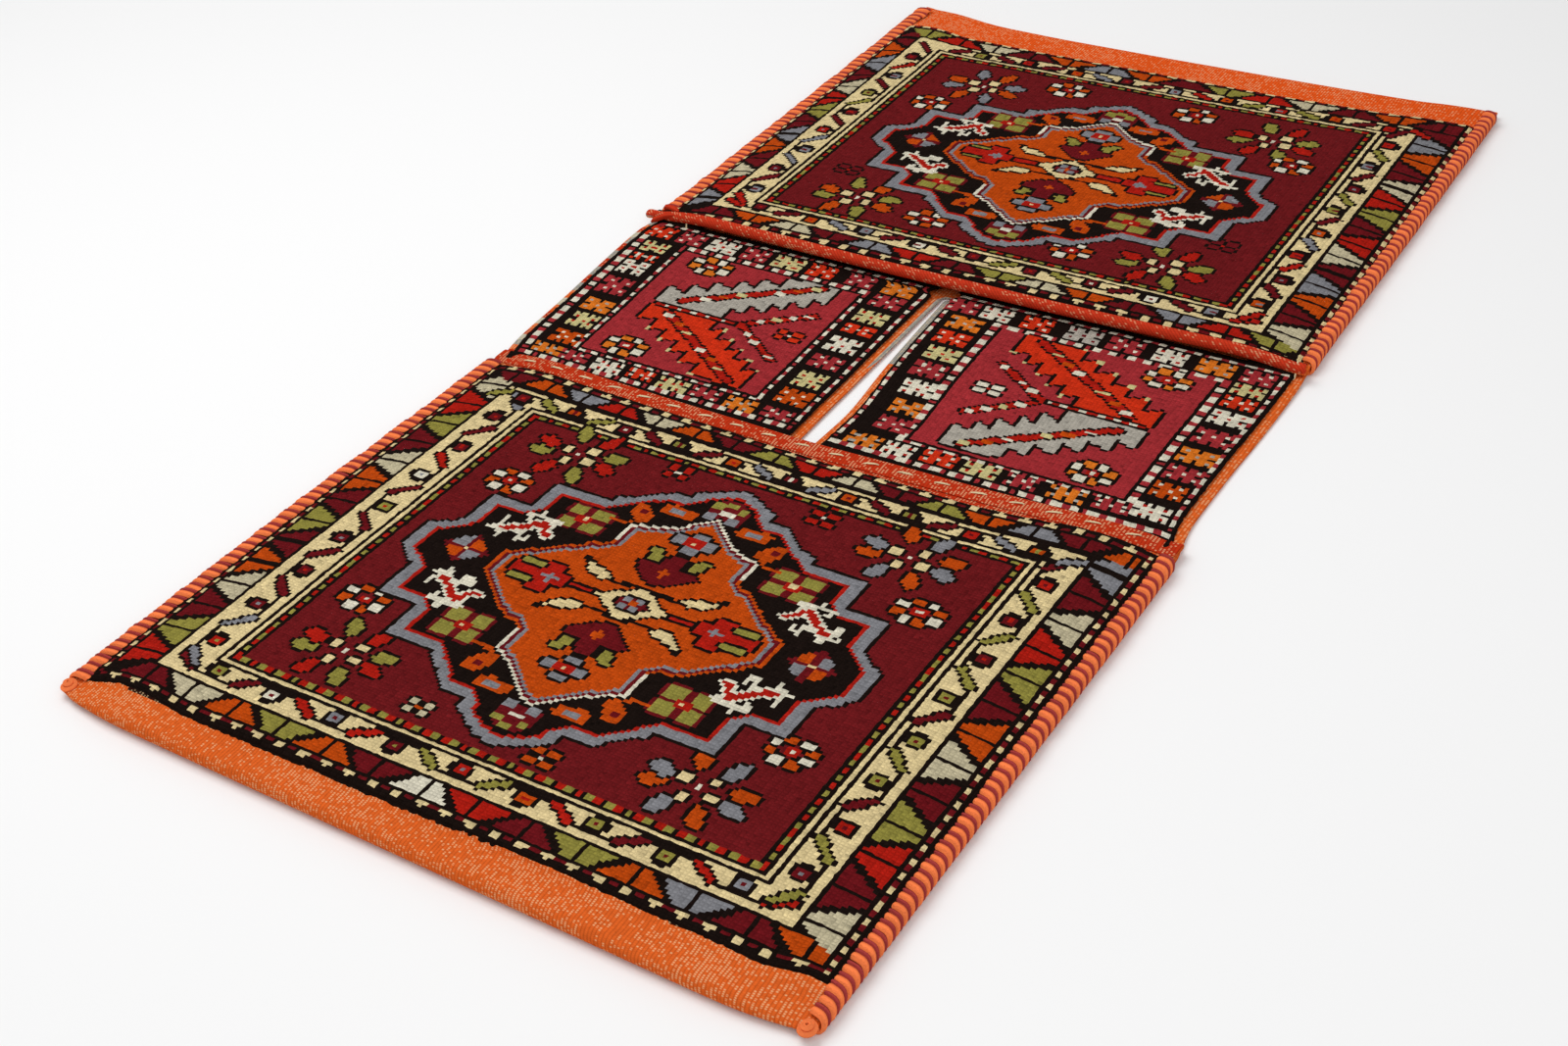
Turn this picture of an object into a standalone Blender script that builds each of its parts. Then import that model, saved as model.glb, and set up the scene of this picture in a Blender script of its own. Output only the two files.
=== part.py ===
"""A handwoven double saddle bag, lying empty and flat on its back.

The bag is one long woven cloth. Its two ends are folded up over the back to make two pouches, and the
stretch between them is the bridge that hangs over the animal, split by a slit. The fronts and the bridge
carry a knotted wool pile on a thin ground weave. The near mouth has a flat hem and the far one a rolled
hem. Overcast wool seams close the sides of each pouch.

X runs across the bag, Y along it and Z up. Sizes are in metres. The near pouch lies at -Y.
"""

import math

import bpy
from mathutils import Vector

# Lengths along the middle of the bag
NEAR_LENGTH = 0.4425  # near pouch, fold to mouth
BRIDGE_LENGTH = 0.2205  # open bridge between the two mouths
FAR_LENGTH = 0.439  # far pouch, fold to mouth
NEAR_BAND = 0.022  # flat-woven band along the near fold
FAR_BAND = 0.036  # flat-woven band along the far fold

# The cloth's width, which varies as handwoven cloth does
CLOTH_WIDTH = 0.553
OUTLINE = (  # share of the bag's length, share of the cloth's width, middle of the cloth
    (0.000, 1.020, -0.0035),
    (0.225, 1.013, -0.0021),
    (0.410, 1.000, 0.0010),
    (0.430, 1.003, -0.0072),
    (0.507, 1.013, -0.0100),
    (0.553, 1.026, -0.0120),
    (0.597, 1.030, -0.0135),
    (0.612, 1.015, -0.0103),
    (0.644, 1.007, -0.0096),
    (0.808, 1.003, -0.0111),
    (1.000, 1.000, -0.0146),
)
FOLD_SKEW = 0.005  # how far the near fold runs out at its right end
MOUTH_SAG = 0.012  # how far the near mouth's ends stand out past its middle
ROLL_SAG = 0.007  # how far the rolled hem's middle stands out past its ends
FLARE_LEFT = 0.016  # how far the far fold's left end runs out past its middle
FLARE_RIGHT = 0.009

# Thicknesses
WEAVE = 0.0020  # ground weave
PILE = 0.0040  # height of the pile over the ground weave
EDGE_PILE = 0.0020  # height of the pile where it enters a side seam
PILE_SLOPE = 0.0030  # width of the rounded shoulder along the edge of the pile
FACE_GAP = 0.0003  # clearance between faces that touch
SELVEDGE = 0.0075  # flat-woven edge along the bridge's sides and its slit
SELVEDGE_RISE = 0.0010  # how much thicker the wrapped edge is than the weave

# The pouches
POCKET_GAP = 0.0089  # opening between a pouch's two walls
SIDE_GAP = 0.0005  # opening between the walls at the side seams
SIDE_RISE = 0.040  # width over which the front rises from a side seam to its full height
FOLD_REACH = 0.0062  # how far a fold bulges past the flat walls
FOLD_CORNER = 0.0070  # how far the seams pull in the corners of a fold
CORNER_WIDTH = 0.026  # width over which a fold's corner is pulled in
FAR_FOLD_CORNER = 0.0005  # the same pull on the far fold, whose corners stand out square
HEM_BAND = 0.0160  # width of the flat hem turned over at the near mouth

# The rolled hem
ROLL_DIAMETER = 0.0110
ROLL_TURNS = 1.25
ROLL_GAP = 0.0004  # clearance between the turns
ROLL_TO_PILE = 0.0010  # clearance between the roll and the pile behind it
TIE_REACH = 0.0050  # how far the tied left end stands out past the cloth's edge
TIE_SCALES = (0.90, 0.78, 0.62)  # the roll's size at its left end, then inwards to the tie
TIE_DROOP = 0.0020

# The slit: its left edge at the two mouths, and its width at shares of the bridge's length
SLIT_LEFT_NEAR = -0.0135
SLIT_LEFT_FAR = -0.0165
SLIT_WIDTHS = ((0.00, 0.0100), (0.28, 0.0137), (0.52, 0.0067), (0.78, 0.0040), (1.00, 0.0014))
SLIT_TUCK = 0.0040  # how far the slit runs on under each mouth

# The woven pattern's cream frame, measured inwards from the edges of the pile
FRAME_OUTER = 0.036  # along the sides
FRAME_INNER = 0.071
FRAME_END_OUTER = 0.027  # along the folds and mouths
FRAME_END_INNER = 0.052
BRIDGE_BORDER = 0.034  # width of the bridge's dark border

# The overcast side seams
SEAM_YARN = 0.0024  # thickness of the yarn
SEAM_WIDTH_LEFT = 0.0135
SEAM_WIDTH_RIGHT = 0.0100
SLOT_PLAY = 0.0008  # clearance between the cloth's edge and the yarn around it
WRAP_PITCH = 0.0082  # length of seam that one pair of wraps covers
WRAP_GROOVE = 0.0009  # depth of the groove between two wraps
SEAM_TO_MOUTH = 0.0060  # bare edge between the near seams and the near mouth
SEAM_CLOSE = 0.0035  # solid yarn past the cloth at the fold end of a near seam
KNOB_INSETS = (0.0, 0.0006, 0.0022)  # rounding of a seam's fold end, from one wrap to the next

# Faceting
FOLD_STEPS = 8
HEM_STEPS = 4
ROLL_STEP_ANGLE = math.radians(30)
LIFT_FADE = 0.020  # width over which the back comes down from a side seam to the ground
SEAM_ANGLES = [math.radians(a) for a in (-90, -50, -15, 15, 50, 90)]
SEAM_SQUARENESS = 0.55  # 1 wraps the edges in an oval, less in a squarer loop

COLOURS = {
    "red_field": (0.20, 0.012, 0.018, 1.0),
    "dark_border": (0.035, 0.014, 0.011, 1.0),
    "cream_frame": (0.70, 0.56, 0.30, 1.0),
    "orange_weave": (0.58, 0.12, 0.022, 1.0),
    "seam_yarn": (0.62, 0.15, 0.05, 1.0),
}
RED, DARK, CREAM, ORANGE = range(4)  # places of the cloth's materials
WOOL_ROUGHNESS = 0.9

# Places that follow from the sizes above
LENGTH = NEAR_LENGTH + BRIDGE_LENGTH + FAR_LENGTH
NEAR_END = -LENGTH / 2
NEAR_MOUTH = NEAR_END + NEAR_LENGTH
FAR_MOUTH = NEAR_MOUTH + BRIDGE_LENGTH
FAR_END = LENGTH / 2
NEAR_FOLD = NEAR_END + FOLD_REACH
FAR_FOLD = FAR_END - FOLD_REACH
NEAR_PILE = NEAR_MOUTH - HEM_BAND - FACE_GAP
FAR_PILE = FAR_MOUTH + ROLL_DIAMETER + ROLL_TO_PILE
SEAM_PAST_EDGE = SEAM_YARN + SLOT_PLAY  # how far a seam stands out past the cloth's edge
LEFT_LIP = SEAM_WIDTH_LEFT - SEAM_PAST_EDGE  # where a seam's wraps enter the cloth
RIGHT_LIP = SEAM_WIDTH_RIGHT - SEAM_PAST_EDGE
LIFT = SEAM_YARN + FACE_GAP  # height of the back's edge over the ground
SLOT_HEIGHT = 2 * FACE_GAP + 2 * WEAVE + SIDE_GAP + EDGE_PILE


def smooth(value):
    """Ease from 0 to 1 as value goes from 0 to 1."""
    value = min(1.0, max(0.0, value))
    return value * value * (3 - 2 * value)


def mix(start, end, share):
    return start + (end - start) * share


def interpolate(table, at):
    """Read a table of (place, value, ...) rows between its rows."""
    for before, after in zip(table, table[1:]):
        if at <= after[0]:
            break
    share = min(1.0, max(0.0, (at - before[0]) / (after[0] - before[0])))
    return [mix(start, end, share) for start, end in zip(before[1:], after[1:])]


def cloth_edges(y):
    """X of the cloth's left and right edges at y."""
    width, middle = interpolate(OUTLINE, (y - NEAR_END) / LENGTH)
    half = CLOTH_WIDTH * width / 2
    return middle - half, middle + half


def slit_edges(y):
    """X of the slit's left and right edges at y."""
    share = (y - NEAR_MOUTH) / BRIDGE_LENGTH
    (width,) = interpolate(SLIT_WIDTHS, share)
    left = mix(SLIT_LEFT_NEAR, SLIT_LEFT_FAR, min(1.0, max(0.0, share)))
    return left, left + width


def fold_share(y):
    """How near a place of a pouch is to its fold: 0 at the mouth, 1 at the fold."""
    near = (NEAR_MOUTH - y) / NEAR_LENGTH
    far = (y - FAR_MOUTH) / FAR_LENGTH
    return min(1.0, max(0.0, near, far))


def settle(y, across, inset, on_front):
    """Y of a point as the bag really lies, from its y on the straight plan.

    across is -1 at the left edge and 1 at the right one, and inset is the distance from the nearer edge.
    """
    is_near = y < (NEAR_MOUTH + FAR_MOUTH) / 2
    share = fold_share(y)
    pull = FOLD_CORNER if is_near else FAR_FOLD_CORNER
    corner = pull * (1 - smooth(inset / CORNER_WIDTH)) * smooth((share - 0.9) * 10)
    if is_near:
        sag = MOUTH_SAG * across**2 * (1 - share) if on_front else 0.0
        return y - FOLD_SKEW * across * share + sag + corner
    flare = (FLARE_LEFT if across < 0 else FLARE_RIGHT) * across**4 * share
    sag = ROLL_SAG * across**2 * (1 - share) if on_front else 0.0
    return y + flare + sag - corner


def clean_scene():
    for obj in list(bpy.data.objects):
        bpy.data.objects.remove(obj)


def wool_material(name):
    material = bpy.data.materials.new(name)
    material.use_nodes = True
    material.diffuse_color = COLOURS[name]
    shader = material.node_tree.nodes["Principled BSDF"]
    shader.inputs["Base Color"].default_value = COLOURS[name]
    shader.inputs["Roughness"].default_value = WOOL_ROUGHNESS
    shader.inputs["Metallic"].default_value = 0.0
    return material


def add_mesh_object(name, points, faces, materials, face_slots=None):
    mesh = bpy.data.meshes.new(name)
    mesh.from_pydata(points, [], faces)
    for material in materials:
        mesh.materials.append(material)
    if face_slots:
        mesh.polygons.foreach_set("material_index", face_slots)
    mesh.shade_smooth()
    mesh.set_sharp_from_angle(angle=math.radians(40))
    mesh.update()
    obj = bpy.data.objects.new(name, mesh)
    bpy.context.scene.collection.objects.link(obj)
    return obj


class Column:
    """One lengthwise line of the cloth, told by its distance from the nearer edge."""

    def __init__(self, inset, lip, is_left, bridge_rise):
        self.inset = inset
        self.past_lip = inset - lip
        self.is_left = is_left
        self.bridge_rise = bridge_rise

    def lift(self):
        """Height over the ground, as the seam's yarn holds the back up along the sides."""
        return LIFT * (1 - smooth(self.past_lip / LIFT_FADE))

    def pocket_gap(self):
        return mix(SIDE_GAP, POCKET_GAP, smooth(self.past_lip / SIDE_RISE))

    def front_under(self):
        """Height of the underside of a pouch's front."""
        return self.lift() + WEAVE + self.pocket_gap()

    def front_pile(self):
        """Height of a front's pile over its weave, which the seams press to nothing at the edge."""
        if self.past_lip <= 0:
            return EDGE_PILE * self.inset / (self.inset - self.past_lip)
        return mix(EDGE_PILE, PILE, smooth(self.past_lip / PILE_SLOPE))


class Cloth:
    """The whole cloth as cross lines, from the near mouth's hem to the far mouth's roll.

    Each line holds a pair of points for every column: one on the pile side and one on the inner side.
    """

    SIDE_COLUMNS = 7
    SLIT_COLUMN = SIDE_COLUMNS + 2
    COLUMN_COUNT = 2 * SIDE_COLUMNS + 6

    def __init__(self):
        self.lines = []
        self.kinds = []

    def side_insets(self, lip, on_bridge):
        """Insets of one side's columns, with those where the pattern's frame begins and ends."""
        if on_bridge:
            foot = [0.0, SELVEDGE / 2, SELVEDGE, SELVEDGE + PILE_SLOPE]
            frame = [SELVEDGE + BRIDGE_BORDER, SELVEDGE + 2 * BRIDGE_BORDER]
        else:
            foot = [0.0, lip / 3, lip, lip + PILE_SLOPE]
            frame = [lip + FRAME_OUTER, lip + FRAME_INNER]
        return [*foot, *frame, 2 * frame[-1]]

    def columns(self, y, on_bridge):
        """(x, Column) of every lengthwise line at y, from left to right."""
        left, right = cloth_edges(y)
        slit_left, slit_right = slit_edges(y)
        bare = [SELVEDGE_RISE, SELVEDGE_RISE, SELVEDGE_RISE, PILE, PILE, PILE, PILE]
        found = []
        left_insets = self.side_insets(LEFT_LIP, on_bridge)
        for inset, rise in zip(left_insets, bare):
            found.append((left + inset, Column(inset, LEFT_LIP, True, rise)))
        foot = SELVEDGE + PILE_SLOPE
        middle = [
            (slit_left - foot, PILE),
            (slit_left - SELVEDGE, SELVEDGE_RISE),
            (slit_left, SELVEDGE_RISE),
            (slit_right, SELVEDGE_RISE),
            (slit_right + SELVEDGE, SELVEDGE_RISE),
            (slit_right + foot, PILE),
        ]
        for x, rise in middle:
            found.append((x, Column(min(x - left, right - x), LEFT_LIP, x < 0, rise)))
        right_insets = self.side_insets(RIGHT_LIP, on_bridge)
        for inset, rise in reversed(list(zip(right_insets, bare))):
            found.append((right - inset, Column(inset, RIGHT_LIP, False, rise)))
        return found

    def add(self, kind, outer, inner, on_front=False, on_bridge=False):
        """Add one cross line. outer and inner give (y, z), or (y, z, x shift), for a column."""
        line = []
        base_y = outer(Column(CLOTH_WIDTH / 2, LEFT_LIP, True, PILE))[0]
        left, right = cloth_edges(base_y)
        for x, column in self.columns(base_y, on_bridge):
            across = (2 * x - left - right) / (right - left)
            pair = []
            for skin in (outer, inner):
                y, z, *shift = skin(column)
                settled = settle(y, across, column.inset, on_front)
                pair.append((x + sum(shift), settled, z))
            line.append(pair)
        self.lines.append(line)
        self.kinds.append(kind)

    def add_flat_hem(self):
        """The near hem: the cloth's end turned over onto the front and laid flat."""
        turn_big = WEAVE + FACE_GAP / 2
        turn_small = FACE_GAP / 2
        centre_y = NEAR_MOUTH - turn_big

        def turned(y, reach, sine, cosine):
            def skin(column):
                centre_z = column.front_under() + turn_big
                return y + reach * cosine, centre_z + reach * sine

            return skin

        start_y = NEAR_MOUTH - HEM_BAND
        lower, upper = turned(start_y, turn_small, 1, 0), turned(start_y, turn_big, 1, 0)
        self.add(ORANGE, lower, upper, on_front=True)
        for step in range(HEM_STEPS + 1):
            angle = math.pi / 2 - math.pi * step / HEM_STEPS
            way = math.sin(angle), math.cos(angle)
            small, big = turned(centre_y, turn_small, *way), turned(centre_y, turn_big, *way)
            self.add(ORANGE, small, big, on_front=True)

    def add_front(self, stations):
        """A pouch's front wall. stations are (y, share of the pile's height, kind)."""
        for y, share, kind in stations:
            self.add(
                kind,
                lambda c: (y, c.front_under() + WEAVE + share * c.front_pile()),
                lambda c: (y, c.front_under()),
                on_front=True,
            )

    def add_fold(self, fold_line, side):
        """The fold at a pouch's bottom. side is -1 for the near end and 1 for the far end."""
        for step in range(1, FOLD_STEPS):
            angle = math.pi * step / FOLD_STEPS
            if side > 0:
                angle = math.pi - angle
            sine, cosine = math.sin(angle), math.cos(angle)

            def skin(column, inwards):
                low = column.lift() + inwards
                high = column.front_under() + WEAVE - inwards
                reach = side * (FOLD_REACH - inwards) * sine
                return fold_line + reach, (high + low) / 2 + (high - low) / 2 * cosine

            self.add(ORANGE, lambda c: skin(c, 0.0), lambda c: skin(c, WEAVE))

    def add_back(self, stations):
        """The back and the bridge. stations are (y, share of lift, share of pile, kind)."""
        for y, lifted, share, kind in stations:
            self.add(
                kind,
                lambda c: (y, c.lift() * lifted),
                lambda c: (y, c.lift() * lifted + WEAVE + c.bridge_rise * share),
                on_bridge=share > 0,
            )

    def add_roll(self):
        """The far hem: the cloth's end rolled up over the front, tied at its left end."""
        start_radius = (ROLL_DIAMETER - WEAVE) / 2
        steps = math.ceil(2 * math.pi * ROLL_TURNS / ROLL_STEP_ANGLE)
        tie_place = LEFT_LIP * 1.01
        ties = list(zip((0.0, LEFT_LIP / 3, LEFT_LIP), TIE_SCALES))
        for step in range(steps + 1):
            turned = ROLL_TURNS * step / steps
            angle = -math.pi / 2 - 2 * math.pi * turned
            sine, cosine = math.sin(angle), math.cos(angle)
            radius = start_radius - (WEAVE + ROLL_GAP) * turned

            def skin(column, offset):
                scale, past_edge = 1.0, 0.0
                if column.is_left and column.inset < tie_place:
                    (scale,) = interpolate(ties, column.inset)
                    past_edge = 1 - column.inset / LEFT_LIP
                centre_z = column.front_under() + WEAVE / 2 + start_radius
                reach = (radius + offset) * scale
                y = FAR_MOUTH + ROLL_DIAMETER / 2 + reach * cosine
                z = centre_z + reach * sine - TIE_DROOP * past_edge
                return y, z, -TIE_REACH * past_edge

            self.add(
                ORANGE,
                lambda c: skin(c, -WEAVE / 2),
                lambda c: skin(c, WEAVE / 2),
                on_front=True,
            )

    def slot(self, row, column, inner_skin):
        """The material of one cell."""
        kind = self.kinds[row]
        edge = min(column, self.COLUMN_COUNT - 2 - column)
        if kind == "bridge":
            if not inner_skin or edge < 2 or edge == self.SLIT_COLUMN - 1:
                return ORANGE
            return DARK if edge == 3 or edge == 2 or edge >= self.SIDE_COLUMNS else RED
        if inner_skin or kind == ORANGE or edge < 2:
            return ORANGE
        if kind == DARK or edge <= 3:
            return DARK
        return CREAM if kind == CREAM or edge == 4 else RED

    def build(self, materials):
        """Join the lines into one closed solid, with the slit left open."""
        rows, width = len(self.lines), self.COLUMN_COUNT
        points = [point for line in self.lines for pair in line for point in pair]
        faces, slots = [], []

        def corner(place, skin):
            return (place[0] * width + place[1]) * 2 + skin

        def is_open(row, column):
            if not (0 <= row < rows - 1 and 0 <= column < width - 1):
                return True
            return self.kinds[row] == "bridge" and column == self.SLIT_COLUMN

        for row in range(rows - 1):
            for column in range(width - 1):
                if is_open(row, column):
                    continue
                ring = [(row, column), (row, column + 1), (row + 1, column + 1), (row + 1, column)]
                faces.append([corner(place, 0) for place in reversed(ring)])
                faces.append([corner(place, 1) for place in ring])
                slots += [self.slot(row, column, False), self.slot(row, column, True)]
                beyond = [(row - 1, column), (row, column + 1), (row + 1, column), (row, column - 1)]
                for side, neighbour in enumerate(beyond):
                    if is_open(*neighbour):
                        start, end = ring[(side + 1) % 4], ring[side]
                        faces.append(
                            [corner(start, 0), corner(start, 1), corner(end, 1), corner(end, 0)]
                        )
                        slots.append(ORANGE)
        return add_mesh_object("woven_cloth", points, faces, materials, slots)


def front_stations(pile_mouth, pile_fold, fold_line):
    """Cross lines of a front wall from its mouth to its fold, with those of the cream frame."""
    inward = math.copysign(1.0, pile_fold - pile_mouth)
    mouth_inner = pile_mouth + inward * FRAME_END_INNER
    fold_inner = pile_fold - inward * FRAME_END_INNER
    field = [mix(mouth_inner, fold_inner, share) for share in (0.25, 0.5, 0.75)]
    return [
        (pile_mouth, 0.0, DARK),
        (pile_mouth + inward * PILE_SLOPE, 1.0, DARK),
        (pile_mouth + inward * FRAME_END_OUTER, 1.0, CREAM),
        (mouth_inner, 1.0, RED),
        *[(y, 1.0, RED) for y in field],
        (fold_inner, 1.0, CREAM),
        (pile_fold - inward * FRAME_END_OUTER, 1.0, DARK),
        (pile_fold - inward * PILE_SLOPE, 1.0, DARK),
        (pile_fold, 0.0, ORANGE),
        (fold_line, 0.0, ORANGE),
    ]


def outline_stations(start, end):
    """Cross lines of the back where its outline bends, between two places."""
    bends = [NEAR_END + share * LENGTH for share, *_ in OUTLINE]
    return [(y, 1.0, 0.0, ORANGE) for y in bends if start < y < end]


def back_stations():
    """Cross lines of the back and the bridge, from the near fold to the far fold."""
    pile_start = NEAR_MOUTH + FACE_GAP
    pile_end = FAR_MOUTH - FACE_GAP
    middle = (pile_start + pile_end) / 2
    return [
        (NEAR_FOLD, 1.0, 0.0, ORANGE),
        *outline_stations(NEAR_FOLD, NEAR_MOUTH - SLIT_TUCK),
        (NEAR_MOUTH - SLIT_TUCK, 1.0, 0.0, "bridge"),
        (pile_start, 0.9, 0.01, "bridge"),
        (pile_start + PILE_SLOPE, 0.7, 1.0, "bridge"),
        (mix(pile_start, middle, 0.3), 0.2, 1.0, "bridge"),
        (mix(pile_start, middle, 0.6), 0.0, 1.0, "bridge"),
        (middle, 0.0, 1.0, "bridge"),
        (mix(pile_end, middle, 0.5), 0.0, 1.0, "bridge"),
        (pile_end - PILE_SLOPE, 0.4, 1.0, "bridge"),
        (pile_end, 0.5, 0.01, "bridge"),
        (FAR_MOUTH + SLIT_TUCK, 0.7, 0.0, ORANGE),
        (FAR_PILE, 1.0, 0.0, ORANGE),
        *outline_stations(FAR_PILE, FAR_FOLD),
        (FAR_FOLD, 1.0, 0.0, ORANGE),
    ]


def build_cloth(materials):
    cloth = Cloth()
    cloth.add_flat_hem()
    cloth.add_front(front_stations(NEAR_PILE, NEAR_END + NEAR_BAND, NEAR_FOLD))
    cloth.add_fold(NEAR_FOLD, -1)
    cloth.add_back(back_stations())
    cloth.add_fold(FAR_FOLD, 1)
    far_front = front_stations(FAR_PILE, FAR_END - FAR_BAND, FAR_FOLD)[::-1]
    kinds = [kind for _, _, kind in far_front[1:]] + [ORANGE]
    cloth.add_front([(y, share, kind) for (y, share, _), kind in zip(far_front, kinds)])
    cloth.add_roll()
    return cloth.build(materials)


def seam_outline(width, groove):
    """A wrapped edge's cross section, from lip to lip round the outside, as (distance out, z)."""
    half_height = SLOT_HEIGHT / 2 + SEAM_YARN
    half_width = width / 2
    lip = SEAM_PAST_EDGE - width
    outside = []
    for angle in SEAM_ANGLES:
        across = math.cos(angle) ** SEAM_SQUARENESS if abs(angle) < 1.5 else 0.0
        up = math.copysign(abs(math.sin(angle)) ** SEAM_SQUARENESS, angle)
        x = lip + half_width + (half_width - groove) * across
        outside.append((x, half_height + (half_height - groove) * up))
    return [(lip, SEAM_YARN), *outside, (lip, SEAM_YARN + SLOT_HEIGHT)]


def build_seam(name, side, mouth_y, fold_y, close, material):
    """An overcast seam: yarn wrapped round both walls' edges, one ridge for each pair of wraps.

    side is -1 for a left seam and 1 for a right one. close is the length of solid yarn that covers the
    corner at the fold, and 0 leaves the corner flush with the last wrap.
    """
    width = SEAM_WIDTH_LEFT if side < 0 else SEAM_WIDTH_RIGHT
    wraps = max(3, round(abs(fold_y - mouth_y) / WRAP_PITCH))
    last = 2 * wraps
    towards_fold = math.copysign(1.0, fold_y - mouth_y)

    def place(y, out, z):
        edges = cloth_edges(y)
        edge = edges[0] if side < 0 else edges[1]
        return edge + side * out, settle(y, side, CORNER_WIDTH, False), z

    slot_back = [(SLOT_PLAY, SEAM_YARN + SLOT_HEIGHT - EDGE_PILE), (SLOT_PLAY, SEAM_YARN)]
    closed_from = last - math.ceil(close / (WRAP_PITCH / 2))
    points, rings = [], []
    for station in range(last + 1):
        knob = KNOB_INSETS[max(0, station - last + len(KNOB_INSETS) - 1)]
        groove = knob + (WRAP_GROOVE if station % 2 == 0 and station < last else 0.0)
        y = mix(mouth_y, fold_y, station / last)
        section = seam_outline(width, groove)
        if station <= closed_from:
            section += slot_back
        rings.append(range(len(points), len(points) + len(section)))
        points += [place(y, out, z) for out, z in section]

    outside = len(SEAM_ANGLES) + 2
    faces = []
    for station, (base, after) in enumerate(zip(rings, rings[1:])):
        count = len(base) if station < closed_from else outside
        for at in range(count):
            to = (at + 1) % count
            faces.append([base[at], after[at], after[to], base[to]])
    if closed_from < last:
        slot_end = rings[closed_from]
        faces.append([slot_end[0], slot_end[-1], slot_end[-2], slot_end[-3]])
    faces.append(list(rings[0]))
    faces.append(list(reversed(rings[-1])))
    if side * towards_fold < 0:
        faces = [face[::-1] for face in faces]
    return add_mesh_object(name, points, faces, [material])


def stand_on_origin(root, pieces):
    """Move the bag so that the middle of its plan is over the origin and its back on the ground."""
    bpy.context.view_layer.update()
    corners = [piece.matrix_world @ Vector(corner) for piece in pieces for corner in piece.bound_box]
    low = [min(corner[axis] for corner in corners) for axis in range(3)]
    high = [max(corner[axis] for corner in corners) for axis in range(3)]
    root.location = (-(low[0] + high[0]) / 2, -(low[1] + high[1]) / 2, -low[2])


def main():
    clean_scene()
    bag = bpy.data.objects.new("bag", None)
    bpy.context.scene.collection.objects.link(bag)
    cloth_names = ["red_field", "dark_border", "cream_frame", "orange_weave"]
    pieces = [build_cloth([wool_material(name) for name in cloth_names])]
    yarn = wool_material("seam_yarn")
    near_start = NEAR_MOUTH - SEAM_TO_MOUTH
    far_start = FAR_PILE + ROLL_SAG + FACE_GAP
    pouches = (("near", near_start, NEAR_END, SEAM_CLOSE), ("far", far_start, FAR_END, 0.0))
    for pouch, start, end, close in pouches:
        for label, side in (("left", -1), ("right", 1)):
            pieces.append(build_seam(f"{pouch}_{label}_seam", side, start, end, close, yarn))
    for piece in pieces:
        piece.parent = bag
    stand_on_origin(bag, pieces)


main()
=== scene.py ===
"""The looks of a handwoven double saddle bag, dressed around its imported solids.

The bag lies flat on its back. A fine woven cloth stands for the cloth's solid, knotted pile panels lie on
it, and overcast seams of wool yarn close the pouches. X runs across the bag, Y along it and Z up. Sizes
are in metres, and places on a weaver's chart are in millimetres.
"""

import logging
import math
from collections.abc import Callable, Sequence
from dataclasses import dataclass, field
from enum import Enum

import bmesh
import bpy
import numpy as np
from mathutils import Euler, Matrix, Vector, noise
from mathutils.bvhtree import BVHTree


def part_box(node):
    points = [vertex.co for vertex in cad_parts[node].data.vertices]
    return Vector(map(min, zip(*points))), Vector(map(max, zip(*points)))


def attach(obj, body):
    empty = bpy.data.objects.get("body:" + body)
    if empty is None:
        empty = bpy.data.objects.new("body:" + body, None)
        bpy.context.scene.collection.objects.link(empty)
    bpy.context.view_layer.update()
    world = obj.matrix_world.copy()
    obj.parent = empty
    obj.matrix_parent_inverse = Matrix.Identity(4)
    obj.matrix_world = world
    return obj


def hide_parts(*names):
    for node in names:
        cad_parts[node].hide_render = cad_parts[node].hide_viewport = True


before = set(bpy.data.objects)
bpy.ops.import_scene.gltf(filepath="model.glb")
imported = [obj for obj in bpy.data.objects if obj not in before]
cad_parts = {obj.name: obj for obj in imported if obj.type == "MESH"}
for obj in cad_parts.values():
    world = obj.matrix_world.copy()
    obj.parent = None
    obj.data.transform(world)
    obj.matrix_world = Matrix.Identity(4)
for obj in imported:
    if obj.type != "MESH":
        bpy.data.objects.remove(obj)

log = logging.getLogger("saddle_bag")

MILLIMETRE = 0.001
CHART_ORIGIN = (0.0091, -0.0095)  # where the charts' zero point lies on the bag
KNOT_ACROSS = 2.9
KNOT_ALONG = 2.4
SEED = 7
OVERHEAD = 0.2
WHOLE_TURN = 2 * math.pi
AROUND = 8  # the sides of a yarn
SIZE_SPREAD = (0.95, 1.03)  # the least and the most size of a repeated piece

Point = tuple[float, float]
Point3 = tuple[float, float, float]
Mask = np.ndarray
Ring = tuple[float, float, float, float]
Colour = tuple[float, float, float, float]
Socket = bpy.types.NodeSocket
Feed = Socket | float


class Dye(Enum):
    """The dyed wools of the pile and the flat weave, as sRGB colours."""

    MAROON = "611217"
    FIELD = "641619"
    RASPBERRY = "942A2E"
    BLACK = "170F0C"
    RED = "A01A10"
    ORANGE = "B0420C"
    CREAM = "CFBB8A"
    WHITE = "CCC6B2"
    OLIVE = "847D38"
    GREY = "77777B"
    SUN = "C86A1E"
    STRAW = "B9AF7A"
    FLAME = "BE2D13"
    SILVER = "9E988D"
    BONE = "B3A98B"

    def linear(self) -> Colour:
        """Give the colour in linear light, with its alpha."""
        return linear_colour(self.value)


DYES = list(Dye)


def linear_colour(code: str) -> Colour:
    """Turn an sRGB colour into linear light.

    Args:
        code: Six hexadecimal digits.

    Returns:
        Red, green, blue and alpha.
    """
    parts = []
    for start in (0, 2, 4):
        value = int(code[start : start + 2], 16) / 255
        parts.append(value / 12.92 if value <= 0.04045 else ((value + 0.055) / 1.055) ** 2.4)
    return parts[0], parts[1], parts[2], 1.0


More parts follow.
